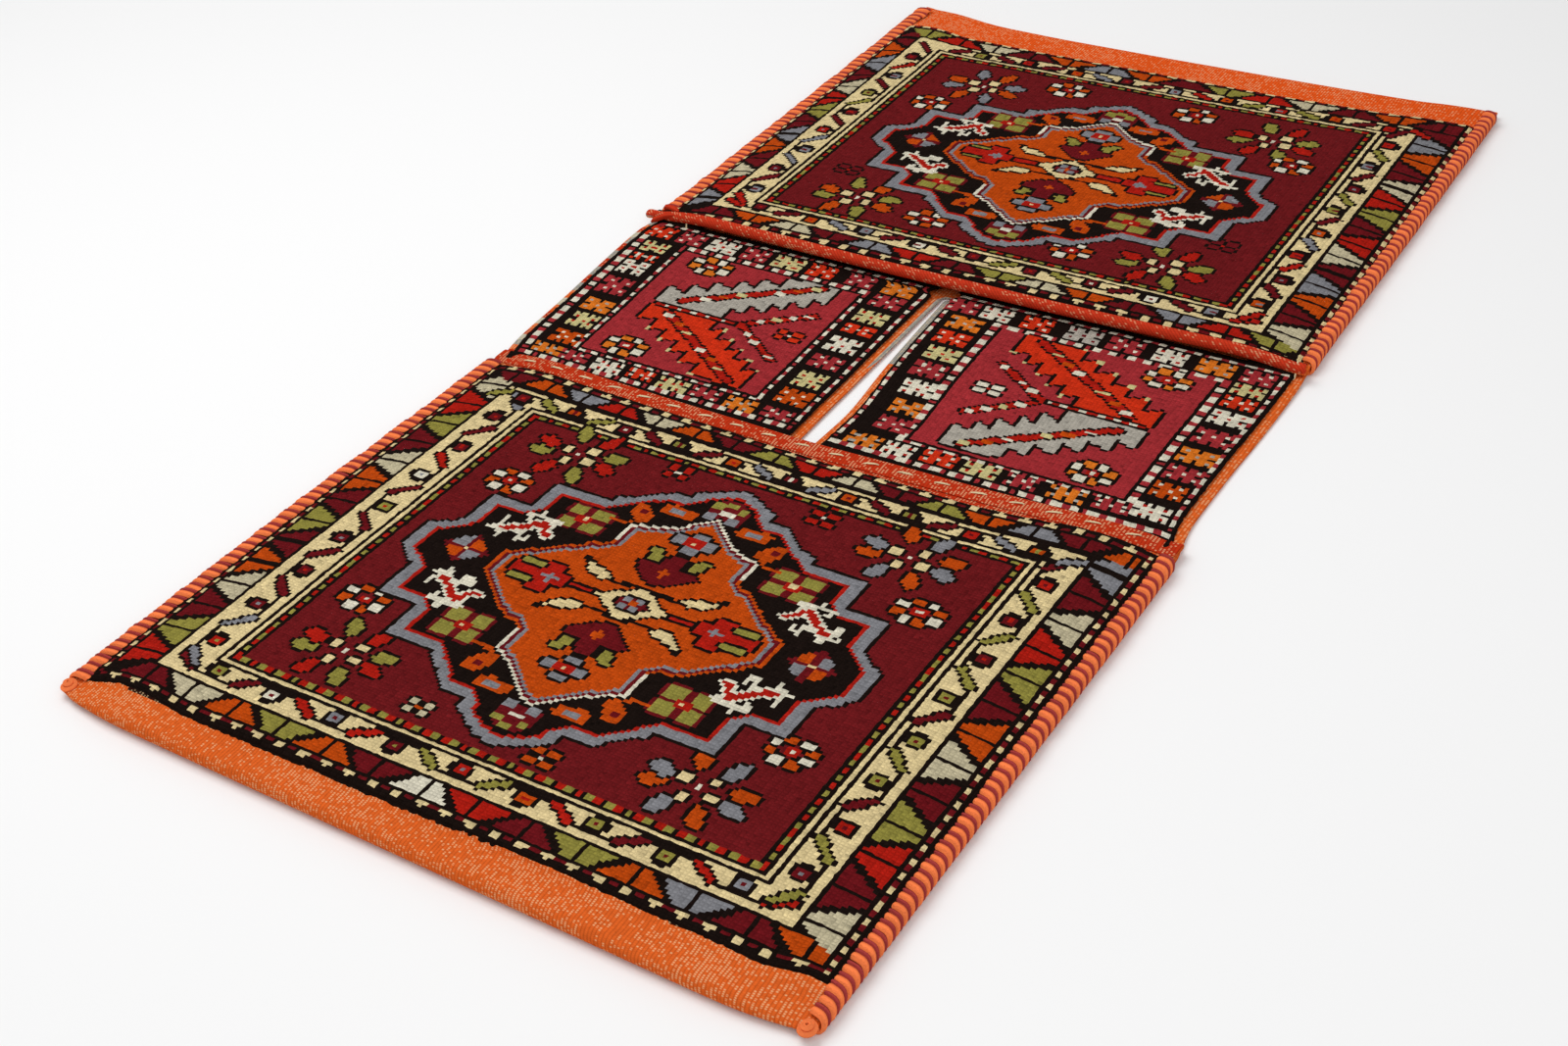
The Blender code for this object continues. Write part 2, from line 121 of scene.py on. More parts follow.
def smooth(value: float) -> float:
    """Ease from 0 to 1 as value goes from 0 to 1."""
    value = min(1.0, max(0.0, value))
    return value * value * (3 - 2 * value)


def mix(start: float, end: float, share: float) -> float:
    """Go from start to end by a share."""
    return start + (end - start) * share


def on_bag(u: float, v: float) -> Point:
    """Turn a place on the charts into a place on the bag."""
    return u * MILLIMETRE + CHART_ORIGIN[0], v * MILLIMETRE + CHART_ORIGIN[1]


class NodeSketch:
    """Adds nodes to a tree, each with its inputs set or linked in one call."""

    def __init__(self, tree: bpy.types.NodeTree) -> None:
        """Start on a tree.

        Args:
            tree: The shader or geometry tree to fill.
        """
        self.tree = tree

    def add(self, kind: str, inputs: dict | None = None, **settings) -> bpy.types.Node:
        """Add one node.

        Args:
            kind: The node's Blender type.
            inputs: Values or output sockets, by input name or place.
            **settings: Properties of the node.

        Returns:
            The new node.
        """
        node = self.tree.nodes.new(kind)
        for key, value in settings.items():
            setattr(node, key, value)
        for key, value in (inputs or {}).items():
            if isinstance(value, Socket):
                self.tree.links.new(value, node.inputs[key])
            else:
                node.inputs[key].default_value = value
        return node

    def maths(self, operation: str, first: Feed, second: Feed = 0.0, third: Feed = 0.0) -> Socket:
        """Add a Math node and give its output.

        Args:
            operation: The Math node's operation.
            first: A number or an output socket.
            second: A number or an output socket.
            third: A number or an output socket.

        Returns:
            The result's socket.
        """
        inputs = {0: first, 1: second, 2: third}
        return self.add("ShaderNodeMath", inputs, operation=operation).outputs[0]

    def sum_of(self, start: Feed, *parts: tuple[Socket, float]) -> Socket:
        """Add values, each times its own share, to a starting number."""
        for value, share in parts:
            start = self.maths("MULTIPLY_ADD", value, share, start)
        return start

    def hump(self, value: Socket) -> Socket:
        """Rise from 0 to 1 and fall again over each whole step of a value."""
        return self.maths("SINE", self.maths("MULTIPLY", self.maths("FRACT", value), math.pi))

    def noise(self, place: Socket, scale: float, detail: float = 2.0, roughness: float = 0.5) -> Socket:
        """Add a noise over a place and give its value."""
        inputs = {"Vector": place, "Scale": scale, "Detail": detail, "Roughness": roughness}
        return self.add("ShaderNodeTexNoise", inputs).outputs[0]

    def place(self) -> Socket:
        """Give the place on the piece, in the piece's own coordinates."""
        return self.add("ShaderNodeTexCoord").outputs["Object"]

    def uniform(self, value: Socket) -> Socket:
        """Give a vector with one value in all its parts."""
        return self.add("ShaderNodeCombineXYZ", {0: value, 1: value, 2: value}).outputs[0]

    def declare(self, names: Sequence[str], into: bool, kind: str = "Float") -> None:
        """Declare sockets of a node group.

        Args:
            names: The sockets' names.
            into: True for inputs.
            kind: Float, Vector, Color, Geometry, Object or Material.
        """
        for name in names:
            self.tree.interface.new_socket(
                name=name, in_out="INPUT" if into else "OUTPUT", socket_type="NodeSocket" + kind
            )


def weave_group() -> bpy.types.NodeTree:
    """Build the flat weave: ribs of weft beaten over a warp, with pale flecks of warp between them, and
    painted shade in the grooves between ribs.

    Returns:
        The node group.
    """
    tree = bpy.data.node_groups.new("flat_weave", "ShaderNodeTree")
    sketch = NodeSketch(tree)
    sketch.declare(["Vector"], True, "Vector")
    sketch.declare(["Warp Pitch", "Weft Pitch", "Slant", "Flecks"], True)
    sketch.declare(["Height", "Shade", "Fleck"], False)
    given = sketch.add("NodeGroupInput").outputs
    place = given["Vector"]
    parts = sketch.add("ShaderNodeSeparateXYZ", {0: place}).outputs
    along = sketch.maths("ADD", parts["Y"], parts["Z"])
    across = sketch.maths("MULTIPLY_ADD", along, given["Slant"], parts["X"])
    across = sketch.maths("MULTIPLY_ADD", sketch.noise(place, 35.0), 0.0030, across)
    weft = sketch.maths("DIVIDE", along, given["Weft Pitch"])
    warp = sketch.maths("DIVIDE", across, given["Warp Pitch"])
    weft_cell, warp_cell = sketch.maths("FLOOR", weft), sketch.maths("FLOOR", warp)
    rib = sketch.hump(warp)
    bead = sketch.hump(sketch.maths("MULTIPLY_ADD", sketch.maths("MODULO", warp_cell, 2.0), 0.5, weft))
    height = sketch.maths("MULTIPLY_ADD", sketch.maths("SQRT", bead), 0.35, sketch.maths("SQRT", rib))
    cell = sketch.add("ShaderNodeCombineXYZ", {0: warp_cell, 1: weft_cell}).outputs[0]
    chance = sketch.add("ShaderNodeTexWhiteNoise", {0: cell}, noise_dimensions="2D").outputs["Value"]
    patch, mottle = sketch.noise(place, 16.0, 3.0), sketch.noise(place, 330.0)
    chosen = sketch.maths("GREATER_THAN", sketch.maths("MULTIPLY_ADD", patch, 1.4, chance), given["Flecks"])
    dot = sketch.maths("MULTIPLY", sketch.maths("POWER", rib, 3.0), sketch.maths("POWER", bead, 1.5))
    fleck = sketch.maths("MULTIPLY", chosen, dot)
    # Painted shade: the ribs' height lightens their crowns and darkens the grooves; mottle, chance and
    # patch are random tone.
    shade = sketch.sum_of(0.36, (height, 0.34), (mottle, 0.44), (chance, 0.14), (patch, 0.16))
    sketch.add("NodeGroupOutput", {"Height": height, "Shade": shade, "Fleck": fleck})
    return tree


def pile_group() -> bpy.types.NodeTree:
    """Build the knotted pile: a soft dome for each knot, with painted shade between knots, and the fuzz of
    its cut ends.

    Returns:
        The node group.
    """
    tree = bpy.data.node_groups.new("knotted_pile", "ShaderNodeTree")
    sketch = NodeSketch(tree)
    sketch.declare(["Knots", "Vector"], True, "Vector")
    sketch.declare(["Height", "Shade"], False)
    given = sketch.add("NodeGroupInput").outputs
    place = given["Vector"]
    jitter = sketch.noise(place, 260.0)
    knots = sketch.add("ShaderNodeSeparateXYZ", {0: given["Knots"]}).outputs
    waves = []
    for part in ("X", "Y"):
        wave = sketch.hump(sketch.maths("MULTIPLY_ADD", jitter, 0.5, knots[part]))
        waves.append(sketch.maths("POWER", wave, 0.6))
    dome = sketch.maths("MULTIPLY", *waves)
    fuzz, wear = sketch.noise(place, 1400.0, 3.0, 0.7), sketch.noise(place, 18.0, 4.0)
    height = sketch.maths("MULTIPLY_ADD", fuzz, 0.6, dome)
    # Painted shade: the dome lightens each knot's top and darkens the gaps between knots; fuzz and wear add
    # random tone.
    shade = sketch.sum_of(0.60, (dome, 0.20), (fuzz, 0.42), (wear, 0.24))
    sketch.add("NodeGroupOutput", {"Height": height, "Shade": shade})
    return tree


@dataclass(frozen=True)
class WoolFinish:
    """How a wool takes light: dull, with the relief of its yarns."""

    name: str
    bump: float
    depth: float

    def make(self, wool: Callable[[NodeSketch], tuple[Socket, Socket]]) -> bpy.types.Material:
        """Make the material.

        Args:
            wool: A function of the sketch that gives the sockets of the colour and of the relief.

        Returns:
            The material.
        """
        material = bpy.data.materials.new(self.name)
        material.use_nodes = True
        sketch = NodeSketch(material.node_tree)
        colour, height = wool(sketch)
        shader = material.node_tree.nodes["Principled BSDF"]
        shader.inputs["Roughness"].default_value = 1.0
        shader.inputs["Specular IOR Level"].default_value = 0.02
        relief = {"Strength": self.bump, "Distance": self.depth, "Height": height}
        bump = sketch.add("ShaderNodeBump", relief)
        sketch.tree.links.new(bump.outputs[0], shader.inputs["Normal"])
        sketch.tree.links.new(colour, shader.inputs["Base Color"])
        return material


class Finishes:
    """Every material of the bag, made once."""

    PILE_COLOUR = "knot_colour"
    WEAVE_COLOUR = "weave_colour"
    KNOT_UV = "knots"
    YARN_UV = "yarn"
    FLECK = "D8B98A"
    FLECK_STRENGTH = 0.85

    def __init__(self) -> None:
        """Build the shared groups and the materials."""
        self.weave_tree = weave_group()
        self.pile_tree = pile_group()
        self.pile = self.make_pile()
        self.flat = self.make_weave("flat_weave_wool", 0.0024, 0.0016, 0.0, 1.28)
        self.rolled = self.make_weave("rolled_weave_wool", 0.0030, 0.0015, 0.70, 1.45)
        self.orange_yarn = self.make_yarn("orange_yarn", "EE7A45")
        self.red_yarn = self.make_yarn("red_yarn", "B5331C")
        self.maroon_yarn = self.make_yarn("maroon_yarn", "9C3A38")
        self.cream_yarn = self.make_yarn("cream_yarn", "DDC9A0")

    @staticmethod
    def shaded(sketch: NodeSketch, colour: Socket | Colour, shade: Socket) -> Socket:
        """Darken or lighten a colour by a shade.

        Args:
            sketch: The material's nodes.
            colour: A colour socket or value.
            shade: The socket of the factor, about 1.

        Returns:
            The colour's socket.
        """
        inputs = {"Factor": 1.0, 6: colour, 7: sketch.uniform(shade)}
        return sketch.add("ShaderNodeMix", inputs, data_type="RGBA", blend_type="MULTIPLY").outputs[2]

    def make_pile(self) -> bpy.types.Material:
        """Make the pile's wool, coloured knot by knot."""

        def wool(sketch: NodeSketch) -> tuple[Socket, Socket]:
            """Read the knots' colour, darken it by the painted shade between knots and by random tone, and
            give it the pile's relief.
            """
            knots = sketch.add("ShaderNodeUVMap", uv_map=self.KNOT_UV).outputs[0]
            inputs = {"Knots": knots, "Vector": sketch.place()}
            group = sketch.add("ShaderNodeGroup", inputs, node_tree=self.pile_tree).outputs
            dye = sketch.add("ShaderNodeAttribute", attribute_name=self.PILE_COLOUR).outputs["Color"]
            return self.shaded(sketch, dye, group["Shade"]), group["Height"]

        return WoolFinish("knotted_wool", 0.7, 0.0009).make(wool)

    def make_weave(
        self, name: str, warp: float, weft: float, slant: float, flecks: float
    ) -> bpy.types.Material:
        """Make flat-woven wool.

        Args:
            name: The material's name.
            warp: Distance between warps in metres.
            weft: Distance between wefts in metres.
            slant: How far a rib runs across for each metre along.
            flecks: The threshold of the pale flecks, less for more of them.

        Returns:
            The material.
        """

        def wool(sketch: NodeSketch) -> tuple[Socket, Socket]:
            """Read the weft's colour, darken it by the painted shade in the weave's grooves and by random
            tone, and lay the pale warp flecks over it.
            """
            inputs = {
                "Vector": sketch.place(), "Warp Pitch": warp, "Weft Pitch": weft, "Slant": slant,
                "Flecks": flecks,
            }
            group = sketch.add("ShaderNodeGroup", inputs, node_tree=self.weave_tree).outputs
            dye = sketch.add("ShaderNodeAttribute", attribute_name=self.WEAVE_COLOUR).outputs["Color"]
            inputs = {
                "Factor": sketch.maths("MULTIPLY", group["Fleck"], self.FLECK_STRENGTH),
                6: self.shaded(sketch, dye, group["Shade"]), 7: linear_colour(self.FLECK),
            }
            return sketch.add("ShaderNodeMix", inputs, data_type="RGBA").outputs[2], group["Height"]

        return WoolFinish(name, 0.6, 0.0006).make(wool)

    def make_yarn(self, name: str, code: str) -> bpy.types.Material:
        """Make a thick yarn, ridged along its length.

        Args:
            name: The material's name.
            code: Its sRGB colour.

        Returns:
            The material.
        """

        def wool(sketch: NodeSketch) -> tuple[Socket, Socket]:
            """Paint shade into the grooves between the plies, which run along the yarn's U, and vary the
            colour at random along them.
            """
            uv = sketch.add("ShaderNodeUVMap", uv_map=self.YARN_UV).outputs[0]
            parts = sketch.add("ShaderNodeSeparateXYZ", {0: uv}).outputs
            fuzz, tone = sketch.noise(sketch.place(), 900.0, 3.0), sketch.noise(sketch.place(), 60.0)
            across = sketch.maths("MULTIPLY_ADD", fuzz, 0.4, parts["Y"])
            plies = sketch.maths("SINE", sketch.maths("MULTIPLY", across, WHOLE_TURN))
            # Painted shade: the plies' wave darkens the grooves between plies; fuzz and tone are random
            # tone.
            shade = sketch.sum_of(0.62, (plies, 0.10), (fuzz, 0.40), (tone, 0.40))
            height = sketch.maths("MULTIPLY_ADD", plies, 0.5, fuzz)
            return self.shaded(sketch, linear_colour(code), shade), height

        return WoolFinish(name, 0.8, 0.0006).make(wool)


def link(name: str, mesh: bpy.types.Mesh) -> bpy.types.Object:
    """Put a mesh into the scene as an object at the origin."""
    obj = bpy.data.objects.new(name, mesh)
    bpy.context.scene.collection.objects.link(obj)
    return obj


class ClothGuide:
    """The woven ground's surface, read as the guide for what lies on it."""

    MIDDLE_HEIGHT = 0.008
    EDGE_HEIGHTS = (0.001, 0.002, 0.003, 0.0045, 0.006)
    OUTSIDE = 0.5
    SLIT_START = (0.0006, -0.1140)
    SLIT_END = (-0.0067, 0.1065)
    SLIT_REACH = 0.012

    def __init__(self, node: bpy.types.Object) -> None:
        """Read the surface.

        Args:
            node: The woven ground.
        """
        mesh = bmesh.new()
        mesh.from_mesh(node.data)
        self.tree = BVHTree.FromBMesh(mesh)
        mesh.free()

    def hit(self, start: Point3, way: Point3) -> Vector | None:
        """Give the first point of the cloth that a ray meets."""
        return self.tree.ray_cast(Vector(start), Vector(way))[0]

    def top(self, x: float, y: float, ceiling: float = OVERHEAD) -> float:
        """Give the height of the cloth's upper side under a ceiling, or near it beyond an edge."""
        found = self.hit((x, y, ceiling), (0, 0, -1))
        if found is None:
            found = self.tree.find_nearest(Vector((x, y, self.MIDDLE_HEIGHT)))[0]
        return found.z

    def edge(self, y: float, side: int) -> float:
        """Give the x of the cloth's outer edge at y. side is -1 for the left edge and 1 for the right."""
        found = [self.hit((side * self.OUTSIDE, y, z), (-side, 0, 0)) for z in self.EDGE_HEIGHTS]
        return side * max(side * point.x for point in found if point is not None)

    def slit_edge(self, y: float, side: int) -> float:
        """Give the x of the slit's edge at y. side is -1 for the left edge and 1 for the right."""
        share = (y - self.SLIT_START[1]) / (self.SLIT_END[1] - self.SLIT_START[1])
        middle = mix(self.SLIT_START[0], self.SLIT_END[0], min(1.0, max(0.0, share)))
        found = [self.hit((middle, y, z), (side, 0, 0)) for z in self.EDGE_HEIGHTS]
        places = [side * (point.x - middle) for point in found if point is not None]
        reach = min(places) if places else 0.0
        return middle + side * (reach if reach < self.SLIT_REACH else 0.0)


@dataclass
class KnotChart:
    """A weaver's chart: one dye for each knot of a panel. Its places are in millimetres."""

    left: float
    low: float
    right: float
    high: float
    ground: Dye
    columns: int = field(init=False)
    rows: int = field(init=False)
    u: np.ndarray = field(init=False)
    v: np.ndarray = field(init=False)
    dyes: np.ndarray = field(init=False)

    def __post_init__(self) -> None:
        """Lay out the knots."""
        self.columns = round((self.right - self.left) / KNOT_ACROSS)
        self.rows = round((self.high - self.low) / KNOT_ALONG)
        across = (np.arange(self.columns) + 0.5) / self.columns
        along = (np.arange(self.rows) + 0.5) / self.rows
        self.u, self.v = np.meshgrid(
            mix(self.left, self.right, across), mix(self.low, self.high, along)
        )
        self.dyes = np.full(self.u.shape, DYES.index(self.ground))

    def box(self, left: float, low: float, right: float, high: float) -> Mask:
        """Select the knots inside a rectangle."""
        return (self.u > left) & (self.u < right) & (self.v > low) & (self.v < high)

    def shape(self, corners: Sequence[Point]) -> Mask:
        """Select the knots inside a polygon."""
        inside = np.zeros(self.u.shape, bool)
        for (u0, v0), (u1, v1) in zip(corners, [*corners[1:], corners[0]]):
            if v0 != v1:
                crossing = (v0 > self.v) != (v1 > self.v)
                inside ^= crossing & (self.u < (u1 - u0) * (self.v - v0) / (v1 - v0) + u0)
        return inside

    def stroke(self, points: Sequence[Point], width: float) -> Mask:
        """Select the knots along a broken line of some width."""
        near = np.zeros(self.u.shape, bool)
        for (u0, v0), (u1, v1) in zip(points, points[1:]):
            run, rise = u1 - u0, v1 - v0
            length = run * run + rise * rise
            share = np.clip(((self.u - u0) * run + (self.v - v0) * rise) / max(length, 1e-9), 0, 1)
            gap = np.hypot(self.u - u0 - share * run, self.v - v0 - share * rise)
            near |= gap < width / 2
        return near

    def paint(self, mask: Mask, dye: Dye, outline: Dye | None = None) -> None:
        """Tie a shape's knots in one dye, and the knots round it in another.

        Args:
            mask: The shape's knots.
            dye: The shape's dye.
            outline: The dye of a line one knot wide round it, if it has one.
        """
        if outline is not None:
            self.dyes[grow(mask, 1)] = DYES.index(outline)
        self.dyes[mask] = DYES.index(dye)


def grow(mask: Mask, knots: int) -> Mask:
    """Widen a selection on every side by some knots."""
    for _ in range(knots):
        wide = np.pad(mask, 1)
        mask = wide[1:-1, 1:-1] | wide[:-2, 1:-1] | wide[2:, 1:-1] | wide[1:-1, :-2] | wide[1:-1, 2:]
    return mask


def shrink(mask: Mask, knots: int) -> Mask:
    """Narrow a selection on every side by some knots."""
    return ~grow(~mask, knots)


@dataclass
class PilePanel:
    """A panel of knotted pile, tied from a chart and laid on the cloth.

    Each knot is one cell of the mesh, so the colours change in steps as they do in the real pile.
    """

    name: str
    chart: KnotChart
    place: Callable[[float, float], Point]
    rise: float = 0.0009
    unevenness: float = 0.00018
    shade_spread: float = 0.10
    ceiling: float = OVERHEAD
    least: float = 0.0
    tuck: float = 0.0016

    def build(self, guide: ClothGuide, finishes: Finishes) -> bpy.types.Object:
        """Make the panel's mesh.

        Args:
            guide: The cloth that the panel lies on.
            finishes: The bag's materials.

        Returns:
            The panel.
        """
        rng = np.random.default_rng(SEED)
        rows, columns = self.chart.rows, self.chart.columns
        points = np.zeros((rows + 1, columns + 1, 3))
        for row in range(rows + 1):
            for column in range(columns + 1):
                x, y = self.place(column / columns, row / rows)
                points[row, column] = x, y, max(guide.top(x, y, self.ceiling), self.least)
        points += rng.normal(0, self.unevenness, points.shape)
        points[..., 2] += self.rise
        for rim in (points[0], points[-1], points[:, 0], points[:, -1]):
            rim[:, 2] -= self.tuck
        start = (np.arange(rows)[:, None] * (columns + 1) + np.arange(columns)).ravel()
        faces = np.stack([start, start + 1, start + columns + 2, start + columns + 1], 1)
        mesh = bpy.data.meshes.new(self.name)
        mesh.from_pydata(points.reshape(-1, 3).tolist(), [], faces.tolist())
        mesh.shade_smooth()
        corners = np.array([(0, 0), (1, 0), (1, 1), (0, 1)])
        cell = np.stack([np.tile(np.arange(columns), rows), np.repeat(np.arange(rows), columns)], 1)
        uv = mesh.uv_layers.new(name=Finishes.KNOT_UV)
        uv.data.foreach_set("uv", (cell[:, None] + corners).astype(np.float32).ravel())
        palette = np.array([dye.linear() for dye in DYES])
        colours = palette[self.chart.dyes.ravel()]
        shade = 1 + rng.normal(0, self.shade_spread, len(colours))
        colours[:, :3] *= np.clip(shade, 0.6, 1.4)[:, None]
        layer = mesh.color_attributes.new(Finishes.PILE_COLOUR, "FLOAT_COLOR", "CORNER")
        layer.data.foreach_set("color", np.repeat(colours, 4, axis=0).astype(np.float32).ravel())
        mesh.materials.append(finishes.pile)
        panel = link(self.name, mesh)
        log.info("%s: %d by %d knots", self.name, columns, rows)
        return panel


@dataclass(frozen=True)
class Strip:
    """A straight stretch of border, from its start to its end and from its outer edge inwards."""

    start: Point
    end: Point
    inward: Point

    def at(self, along: float, across: float) -> Point:
        """Give the place at a share along the strip and a share inwards."""
        return (
            mix(self.start[0], self.end[0], along) + self.inward[0] * across,
            mix(self.start[1], self.end[1], along) + self.inward[1] * across,
        )


def ring_strips(outer: Ring, inner: Ring, spans: Sequence[Point]) -> list[Strip]:
    """Give the strips between two rectangles: low, left, right and high.

    Args:
        outer: The outer rectangle.
        inner: The inner rectangle.
        spans: Where each strip starts and ends along its side.

    Returns:
        The four strips, which run from left to right or upwards.
    """
    left, low, right, high = outer
    low_span, left_span, right_span, high_span = spans
    return [
        Strip((low_span[0], low), (low_span[1], low), (0, inner[1] - low)),
        Strip((left, left_span[0]), (left, left_span[1]), (inner[0] - left, 0)),
        Strip((right, right_span[0]), (right, right_span[1]), (inner[2] - right, 0)),
        Strip((high_span[0], high), (high_span[1], high), (0, inner[3] - high)),
    ]


@dataclass(frozen=True)
class Place:
    """Where a motif goes on a chart, and how it is scaled, mirrored or turned."""

    u: float
    v: float
    wide: float = 1.0
    tall: float = 1.0
    turn: float = 0.0

    def put(self, points: Sequence[Point]) -> list[Point]:
        """Move a motif's points to their place on the chart."""
        cosine, sine = math.cos(math.radians(self.turn)), math.sin(math.radians(self.turn))
        moved = []
        for u, v in points:
            turned = u * cosine - v * sine, u * sine + v * cosine
            moved.append((self.u + turned[0] * self.wide, self.v + turned[1] * self.tall))
        return moved

    def inside(self, u: float, v: float) -> "Place":
        """Give the place at a point of this motif, with the same scale."""
        ((at_u, at_v),) = self.put([(u, v)])
        return Place(at_u, at_v, self.wide, self.tall)


PETAL = ((-9.5, 0.5), (-4, 5), (4, 5), (9.5, 1), (8, -3), (2, -5), (-5, -4.5))
SQUARE = ((-1, -1), (1, -1), (1, 1), (-1, 1))


class Motifs:
    """The small motifs that the weaver repeats."""

    def __init__(self, chart: KnotChart) -> None:
        """Start on a chart."""
        self.chart = chart

    def fill(self, place: Place, points: Sequence[Point], dye: Dye, outline: Dye | None = None) -> None:
        """Tie one polygon of a motif."""
        self.chart.paint(self.chart.shape(place.put(points)), dye, outline)

    def line(
        self, place: Place, points: Sequence[Point], width: float, dye: Dye, outline: Dye | None = None
    ) -> None:
        """Tie one broken line of a motif."""
        self.chart.paint(self.chart.stroke(place.put(points), width), dye, outline)

    def block(self, place: Place, wide: float, tall: float, dye: Dye, outline: Dye | None = None) -> None:
        """Tie a rectangle round a place."""
        corners = [(u * wide / 2, v * tall / 2) for u, v in SQUARE]
        self.fill(place, corners, dye, outline)

    def rosette(self, place: Place, first: Dye, second: Dye) -> None:
        """Tie a corner rosette: eight petals round four white ones."""
        for count, angle in enumerate((112, 62, 15, -17, -65, -117, -166, 168)):
            way = math.radians(angle)
            petal = place.inside(28 * math.cos(way), 23 * math.sin(way))
            petal = Place(petal.u, petal.v, 1, 1, angle)
            self.fill(petal, PETAL, first if count % 2 == 0 else second, Dye.BLACK)
        for u, v in ((7, 8), (-11, 3.5), (11, -4), (-5, -9)):
            self.block(place.inside(u, v), 8, 7, Dye.CREAM, Dye.BLACK)
        self.block(place, 4, 4, Dye.WHITE, Dye.MAROON)

    def posy(self, place: Place, first: Dye, second: Dye, heart: Dye = Dye.RED) -> None:
        """Tie a small flower of eight petals."""
        for count in range(8):
            way = math.radians(22.5 + 45 * count)
            petal = place.inside(13.5 * math.cos(way), 9.5 * math.sin(way))
            self.block(petal, 8, 6.5, first if count % 2 else second, Dye.BLACK)
        self.block(place, 9, 6, heart)
        self.block(place, 3.5, 3, first)

    def clover(self, place: Place, dye: Dye, heart: Dye) -> None:
        """Tie four squares round a heart."""
        for u, v in SQUARE:
            self.block(place.inside(5.8 * u, 4.1 * v), 8, 5.5, dye, Dye.BLACK)
        self.block(place, 3, 2.6, heart)

    def garden_square(self, place: Place) -> None:
        """Tie a square flower with four olive petals and a maroon edge."""
        for u, v in SQUARE:
            petal = place.inside(9.5 * u, 7.5 * v)
            self.block(petal, 14, 11, Dye.OLIVE, Dye.MAROON)
        self.block(place, 3.5, 24, Dye.MAROON)
        self.block(place, 12, 7, Dye.RED)
        self.block(place, 3.5, 3, Dye.CREAM)

    def crab(self, place: Place) -> None:
        """Tie a white-edged red crab, which leans up to the left."""
        body = [(-12, 7), (-3, 3), (5, -5), (12, -9)]
        claw = [(12, -9), (16, 0), (21, 2)]
        chart = self.chart
        red = chart.stroke(place.put(body), 5.5) | chart.stroke(place.put(claw), 4)
        chart.paint(red, Dye.RED, Dye.WHITE)
        legs = (
            [(-21, 9), (-10, 11)],
            [(-11, 10), (-11, 15)],
            [(4, 13), (4, 6), (-3, 6)],
            [(-17, 4), (-17, -3)],
            [(-6, -14), (18, -14)],
            [(4, -14), (4, -19)],
            [(20, -13), (15, -10)],
            [(-6, -14), (-2, -9)],
            [(4, 12), (10, 12), (10, 7)],
        )
        for leg in legs:
            self.line(place, leg, 4, Dye.WHITE)

    def butterfly(self, place: Place) -> None:
        """Tie an orange and grey butterfly at a side of the medallion."""
        self.fill(place, [(-18, 0), (0, 16), (18, 0), (0, -16)], Dye.MAROON)
        wings = ((-1, 1, Dye.GREY), (1, 1, Dye.ORANGE), (-1, -1, Dye.ORANGE), (1, -1, Dye.GREY))
        for across, up, dye in wings:
            wing = [(2, 1.2), (13, 2), (12, 6), (7, 11), (2, 12)]
            self.fill(place, [(u * across, v * up) for u, v in wing], dye)
        self.block(place, 4, 2.5, Dye.CREAM)

    def hash_flower(self, place: Place, dye: Dye, heart: Dye, tall: float) -> None:
        """Tie a bridge flower: a block notched from every side, with five hearts.

        Args:
            place: Its middle.
            dye: The flower's dye.
            heart: The dye of its hearts.
            tall: Its height.
        """
        share = tall / 20
        self.block(place, 25, tall, dye)
        for u, v, wide, high in (
            (0, 8, 3, 6), (0, -8, 3, 6), (-10, 0, 6, 2.8), (10, 0, 6, 2.8),
            (-7.5, 9.5, 3, 2.6), (7.5, 9.5, 3, 2.6), (-7.5, -9.5, 3, 2.6), (7.5, -9.5, 3, 2.6),
        ):
            self.block(place.inside(u, v * share), wide, high, Dye.BLACK)
        for u, v in ((0, 0), (-7.5, 5), (7.5, 5), (-7.5, -5), (7.5, -5)):
            self.block(place.inside(u, v * share), 3.0, 2.5, heart)

    def teeth(self, strip: Strip, dyes: Sequence[Dye], inside: Mask) -> None:
        """Tie a row of split triangles, which point outwards and inwards in turn.

        Args:
            strip: The border's strip.
            dyes: The triangles' dyes.
            inside: The knots that they keep to.
        """
        pitch = 1 / len(dyes)
        for count, dye in enumerate(dyes):
            middle = (count + 0.5) * pitch
            halves = (0.62, 0.18) if count % 2 == 0 else (0.18, 0.62)
            outer, inner = (half * pitch for half in halves)
            corners = [
                strip.at(middle - outer, 0.0), strip.at(middle + outer, 0.0),
                strip.at(middle + inner, 1.0), strip.at(middle - inner, 1.0),
            ]
            self.chart.paint(self.chart.shape(corners) & inside, dye)
            split = [strip.at(middle, 0.0), strip.at(middle, 1.0)]
            self.chart.paint(self.chart.stroke(split, 2.8) & inside, Dye.BLACK)

